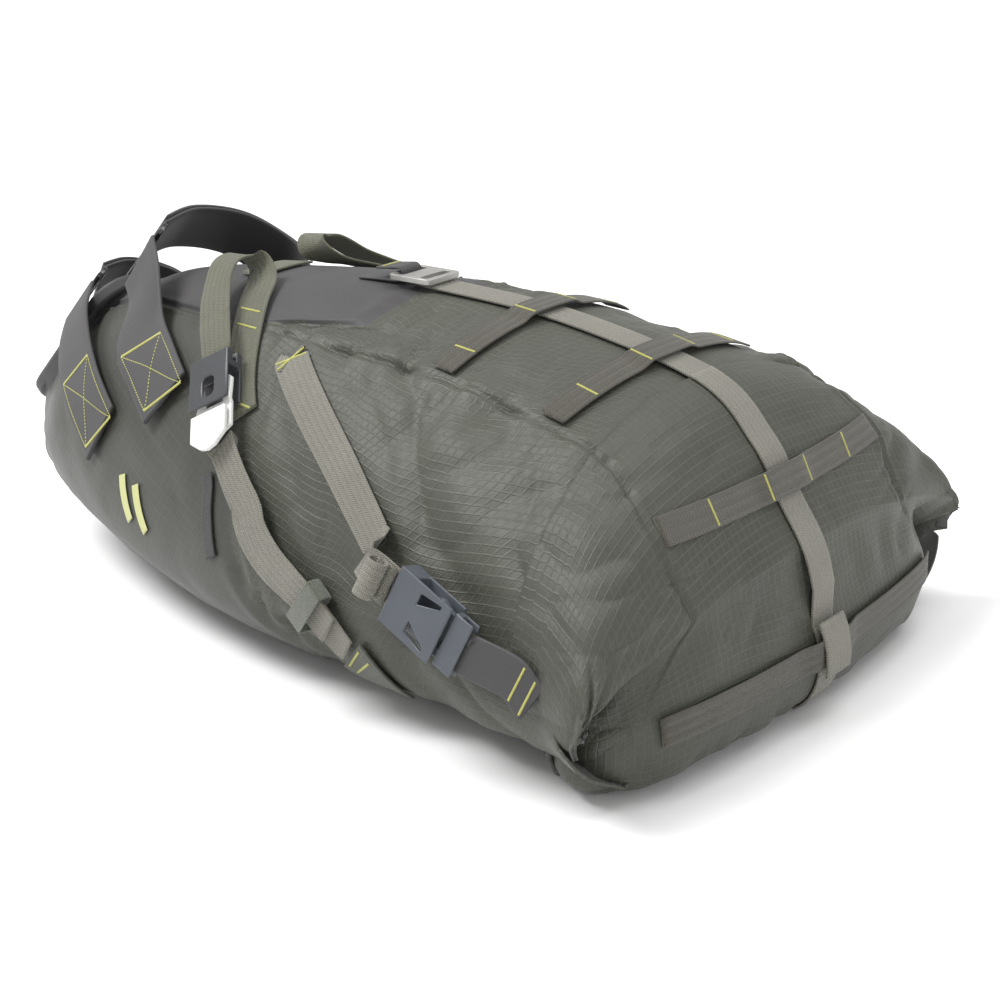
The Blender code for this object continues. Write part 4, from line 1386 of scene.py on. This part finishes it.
@dataclass
class SeatStraps:
    """The two hook and loop straps round the seatpost, with their rings and folded tails."""

    width: float = 38 * MM
    thick: float = 2.2 * MM
    post: tuple = (0.72, 0.0, 0.69)
    routes: dict = field(default_factory=lambda: {
        "lower": {"sewn": ((0.190, 181.5, 0.0016), (0.140, 178, 0.0022), (0.088, 172, 0.0040)),
                  "left_free": ((-0.223, -0.033, 0.130),), "ring": (-0.2405, -0.004, 0.1440),
                  "right_free": ((-0.238, 0.022, 0.148), (-0.226, 0.043, 0.139))},
        "upper": {"sewn": ((0.245, 163.5, 0.0030), (0.205, 156, 0.0034), (0.168, 148, 0.0048)),
                  "left_free": ((-0.143, -0.044, 0.168),), "ring": (-0.1660, -0.019, 0.1820),
                  "right_free": ((-0.170, 0.016, 0.1890), (-0.160, 0.046, 0.1810), (-0.141, 0.064, 0.1640))},
    })

    def ways(self, route: dict) -> tuple:
        """Left and right ways of one strap, on both sides of its ring."""
        axis = Vector(self.post).normalized()
        sewn = []
        for s, u, lift in route["sewn"]:
            out = FORM.outward(s, u)
            flat = (axis - out * axis.dot(out)).normalized()
            sewn.append(Vector((*FORM.skin(s, u, lift + self.thick / 2), *flat)))
        other = [Vector((row[0], -row[1], row[2], row[3], -row[4], row[5])) for row in sewn]
        across = Vector(route["right_free"][0]) - Vector(route["left_free"][-1])
        across = (across - axis * across.dot(axis)).normalized()
        ends = [Vector((*(Vector(route["ring"]) + across * 0.0112 * way), *axis)) for way in (-1, 1)]
        free = {key: [Vector((*point, *axis)) for point in route[key]] for key in ("left_free", "right_free")}
        left = along_curve(sewn + free["left_free"] + ends[:1], 61)
        right = along_curve(ends[1:] + free["right_free"] + other[::-1], 81)
        return tuple(Run([Vector(row[:3]) for row in rows], [Vector(row[3:]) for row in rows])
                     for rows in (left, right))

    def patch(self, run: Run, stops: range) -> None:
        """Box of stitches with a cross, sewn where the strap lies on the nose."""
        sewing, outs = sewing_on(ROOT), run.outs()
        half = self.width / 2 - 0.003
        rows = {way: [run.points[k] + run.sides[k].normalized() * half * way for k in stops]
                for way in (-1, 1)}
        normals = [facing(outs[k], Vector((0, run.points[k].y, 0))) for k in stops]
        raised = {way: [point + out * self.thick * 0.55 for point, out in zip(rows[way], normals)]
                  for way in (-1, 1)}
        for way in (-1, 1):
            sewing.row(raised[way], normals, 0.0022, 0.78)
        count = len(normals)
        for way in (-1, 1):
            line = [raised[-way][k].lerp(raised[way][k], k / (count - 1)) for k in range(count)]
            sewing.row(line, normals, 0.0022, 0.78)
        for k in (0, count - 1):
            sewing.bar((raised[-1][k] + raised[1][k]) / 2, raised[1][k] - raised[-1][k], normals[k],
                       2 * half, 0.0022)

    def note(self) -> None:
        """Tells the cloth where the straps are sewn down."""
        for route in self.routes.values():
            left, right = self.ways(route)
            PRESS.note(Run(left.points[:32], left.sides[:32]), self.width / 2)
            PRESS.note(Run(right.points[52:], right.sides[52:]), self.width / 2)

    def build(self) -> None:
        """Makes the straps, their sewn patches and the folded tails."""
        strap = Strap(self.width, self.thick)
        axis = Vector(self.post).normalized()
        for name, route in self.routes.items():
            left, right = self.ways(route)
            for word, run in (("_left", left), ("_right", right)):
                settle(strap.weave("post_strap_" + name + word, run), "hypalon", ROOT,
                       ("seatpost_strap_" + name + word,))
            self.patch(left, range(1, 26))
            self.patch(right, range(55, 80))
            coarse = along_curve(right.points, 21)
            out = Vector(route["ring"]) - Vector((0, 0, 0.05))
            tail = []
            for k in range(1, 12):
                out = facing(axis.cross(coarse[k + 1] - coarse[k - 1]).normalized(), out)
                tail.append(coarse[k] + out * (self.thick + 1.4 * MM))
            points = along_curve(tail, 44)
            settle(Strap(self.width - 4 * MM, 1.6 * MM).weave("post_tail_" + name, Run(points, [axis] * 44)),
                   "pile", "seat_tail_" + name, ("seatpost_tail_" + name,))


@dataclass
class Trim:
    """The saddle strap, the blank label, the lock's anchor and a plain printed mark."""

    def runs(self) -> tuple:
        """Ways of the saddle strap and the label."""
        over_nose = ((0.196, 78, LIFT), (0.198, 90, LIFT), (0.196, 102, LIFT))
        on_side = ((0.316, 177, 0.0007), (0.328, 184, 0.0007), (0.338, 192, 0.0007))
        return (over_skin(Side.LEFT, over_nose, 24, WEB_THICK, crosswise=False),
                over_skin(Side.LEFT, on_side, 16, 0.8 * MM))

    def note(self) -> None:
        """Tells the cloth where these lie."""
        for run, half in zip(self.runs(), (0.010, 0.005)):
            PRESS.note(run, half)
        PRESS.note(self.anchor_run(), 0.009)
        PRESS.spots += [FORM.skin(0.232 + 0.008 * k, 186 + 3 * j) for k in range(6) for j in range(5)]

    def nose_binding(self) -> None:
        """Coated tape that joins the nose to the pad that bears on the seatpost."""
        low, high = FORM.point(0.0, 270), FORM.point(0.0, 90)
        upward = (high - low).normalized()
        forward = Vector((-upward.z, 0, upward.x))
        points = [FORM.point(0.002, u) + forward * 2.0 * MM for u in range(0, 366, 5)]
        middle = (low + high) / 2
        points = [point + (point - middle).normalized() * 0.4 * MM for point in points]
        tape = Strap(12 * MM, 1.2 * MM).weave("nose_binding", Run(points, [forward] * len(points)))
        settle(tape, "hypalon", ROOT)

    def print_mark(self) -> None:
        """Two plain slanted bars printed on the left nose side."""
        for number, s in enumerate((0.232, 0.250)):
            stops = tuple((s + 0.012 * k, 186 + 6 * k, 0.0004) for k in range(3))
            run = over_skin(Side.LEFT, stops, 14, 0.3 * MM)
            item = Strap(7 * MM, 0.3 * MM).weave("printed_bar_" + str(number + 1), run)
            settle(item, "print", ROOT)

    def anchor_run(self) -> Run:
        """Way of the coated strap that loops through the ladder lock's front bar."""
        bar_s, height, radius = 0.338, 5.4 * MM, 3.7 * MM
        bar = FORM.skin(bar_s, 90, height)
        out, ahead = FORM.outward(bar_s, 90), FORM.along(bar_s, 90)
        points = [FORM.skin(0.300 + 0.0085 * k, 90, (height - radius) * (0.25 + 0.19 * k)) for k in range(5)]
        for angle in (-60, -30, 0, 30, 60, 90):
            turn = math.radians(angle)
            points.append(bar + ahead * radius * math.cos(turn) + out * radius * math.sin(turn))
        points += [bar - ahead * back + out * (radius - back * 0.12) for back in (0.005, 0.010, 0.015)]
        points = along_curve(points, 60)
        return Run(points, [Vector((0, 1, 0))] * 60)

    def build(self) -> None:
        """Makes the small sewn pieces."""
        saddle, label = self.runs()
        self.print_mark()
        self.nose_binding()
        settle(Strap(20 * MM, WEB_THICK).weave("saddle_webbing", saddle), "rail_web", ROOT,
               ("saddle_cross_strap",))
        settle(Strap(9 * MM, 0.8 * MM).weave("blank_label", label), "label", ROOT, ("side_label",))
        anchor = self.anchor_run()
        strap = Strap(16 * MM, 1.3 * MM).weave("lock_anchor_strap", anchor)
        settle(strap, "hypalon", ROOT, ("lock_anchor",))
        end, out = anchor.points[55], anchor.outs()[55]
        sewing_on(ROOT).bar(end + out * 0.8 * MM, Vector((0, 1, 0)), out, 0.014)


# ------------------------------------------------------------------------------ hard parts
@dataclass(frozen=True)
class Moulding:
    """How packed hard parts are softened: their finish and the radius of their edges."""

    finish: str
    edge: float
    nodes: tuple


MOULDINGS = (
    Moulding("buckle", 0.7 * MM, ("female_buckle", "male_buckle", "prong_upper", "prong_lower")),
    Moulding("buckle_dark", 0.8 * MM, ("rail_female",)),
    Moulding("white", 0.8 * MM, ("rail_male", "cam_lever")),
    Moulding("metal", 0.5 * MM, ("ladder_lock",)),
    Moulding("gloss", 0.6 * MM, ("seatpost_ring",)),
    Moulding("green_pile", 0.4 * MM, ("webbing_keeper",)),
    Moulding("hypalon", 2.2 * MM, ("seatpost_pad",)),
    Moulding("board", 0.2 * MM, ("nose_stiffener", "roll_stiffener")),
)


def soften(node: str, moulding: Moulding) -> bpy.types.Object:
    """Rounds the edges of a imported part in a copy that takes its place.

    Args:
        node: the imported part's name.
        moulding: its finish and edge radius.

    Returns:
        The rounded copy.
    """
    packed = frame["nodes"][node]
    shape = bmesh.new()
    shape.from_mesh(packed.data)
    bmesh.ops.remove_doubles(shape, verts=shape.verts, dist=0.02 * MM)
    bmesh.ops.dissolve_limit(shape, angle_limit=math.radians(2), verts=shape.verts,
                             edges=shape.edges)
    item = item_from(node + "_finished", shape)
    item.data.set_sharp_from_angle(angle=math.radians(45))
    bevel = item.modifiers.new("edges", "BEVEL")
    bevel.width = moulding.edge
    bevel.segments = 3
    bevel.limit_method = "ANGLE"
    bevel.angle_limit = math.radians(40)
    settle(item, moulding.finish, packed["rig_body"], (node,))
    return item


def build_mouldings() -> None:
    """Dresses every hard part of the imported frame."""
    for moulding in MOULDINGS:
        for node in sorted(frame["nodes"]):
            if node.startswith(moulding.nodes):
                item = soften(node, moulding)


# ------------------------------------------------------------------------------ studio
@dataclass(frozen=True)
class Studio:
    """Camera, soft lights and a plain pale floor."""

    azimuth: float = 38.81
    elevation: float = 19.46
    distance: float = 1.1613
    target: tuple = (0.0314, 0.0609, 0.0425)
    lens: float = 71.77
    roll: float = -1.389
    room_light: float = 0.62
    sun_light: float = 1.9
    sun_spread: float = 28.0
    sun_from: tuple = (-0.55, -0.40, 1.0)
    floor_half: float = 25.0
    floor_z: float = -0.4 * MM

    def camera(self) -> None:
        """Sets up the camera."""
        turn, lift, roll = (math.radians(part) for part in (self.azimuth, self.elevation, self.roll))
        back = Vector((math.sin(turn) * math.cos(lift), -math.cos(turn) * math.cos(lift), math.sin(lift)))
        right = Vector((math.cos(turn), math.sin(turn), 0))
        up = back.cross(right)
        level = right * math.cos(roll) + up * math.sin(roll)
        upright = up * math.cos(roll) - right * math.sin(roll)
        data = bpy.data.cameras.new("camera")
        data.lens, data.sensor_width, data.clip_start = self.lens, 36.0, 0.01
        camera = bpy.data.objects.new("camera", data)
        camera.matrix_world = Matrix.Translation(Vector(self.target) + back * self.distance) @ Matrix(
            (level, upright, back)).transposed().to_4x4()
        bpy.context.scene.collection.objects.link(camera)
        bpy.context.scene.camera = camera

    def light(self, name: str, place: tuple, size: float, power: float) -> None:
        """A square soft light that faces the bag.

        Args:
            name: its name.
            place: where it hangs.
            size: its side in metres.
            power: watts.
        """
        data = bpy.data.lights.new(name, "AREA")
        data.size, data.energy = size, power
        lamp = bpy.data.objects.new(name, data)
        lamp.location = place
        lamp.rotation_euler = (Vector(place) - Vector((0, 0, 0.1))).to_track_quat("Z", "Y").to_euler()
        bpy.context.scene.collection.objects.link(lamp)

    def daylight(self) -> None:
        """A broad soft light from the upper left that falls on bag and floor alike."""
        data = bpy.data.lights.new("daylight", "SUN")
        data.energy, data.angle = self.sun_light, math.radians(self.sun_spread)
        lamp = bpy.data.objects.new("daylight", data)
        lamp.rotation_euler = Vector(self.sun_from).to_track_quat("Z", "Y").to_euler()
        bpy.context.scene.collection.objects.link(lamp)

    def build(self) -> None:
        """Makes the camera, lights, floor and the light of the room."""
        self.camera()
        self.light("key", (-0.9, -0.6, 1.5), 0.7, 13.0)
        self.daylight()
        self.light("top", (0.5, 0.4, 1.7), 1.2, 15.0)
        self.light("rear", (1.7, -0.9, 0.7), 0.8, 6.0)
        world = bpy.data.worlds.new("room")
        world.use_nodes = True
        background = world.node_tree.nodes["Background"].inputs
        background["Color"].default_value = (1.0, 1.0, 1.0, 1.0)
        background["Strength"].default_value = self.room_light
        bpy.context.scene.world = world
        bpy.context.scene.view_settings.view_transform = "Standard"
        half = self.floor_half
        places = np.array([[(x, y, self.floor_z) for x in (-half, half)] for y in (half, -half)])
        floor = item_from_grid("floor", places)
        dye = Dye("pale_floor")
        dye.set(Base_Color=(0.90, 0.90, 0.90, 1.0), Roughness=0.9, Specular_IOR_Level=0.1)
        floor.data.materials.append(dye.material)


# ------------------------------------------------------------------------------ assembly
def main() -> None:
    """Builds every sub-assembly, its sewing and the studio."""
    logging.basicConfig(level=logging.INFO, format="%(name)s: %(message)s")
    bands, seat, trim = Bands(), SeatStraps(), Trim()
    pairs = [part(side) for side in Side for part in (Compression, RailStrap)]
    for part in (bands, seat, trim, *pairs):
        part.note()
    Shell().build()
    hood = Hood()
    hood.build()
    hood.build_roll()
    for part in (bands, seat, trim, *pairs):
        part.build()
    build_mouldings()
    for sewing in SEWING.values():
        sewing.finish()
    Studio().build()


if __name__ == "__main__":
    main()
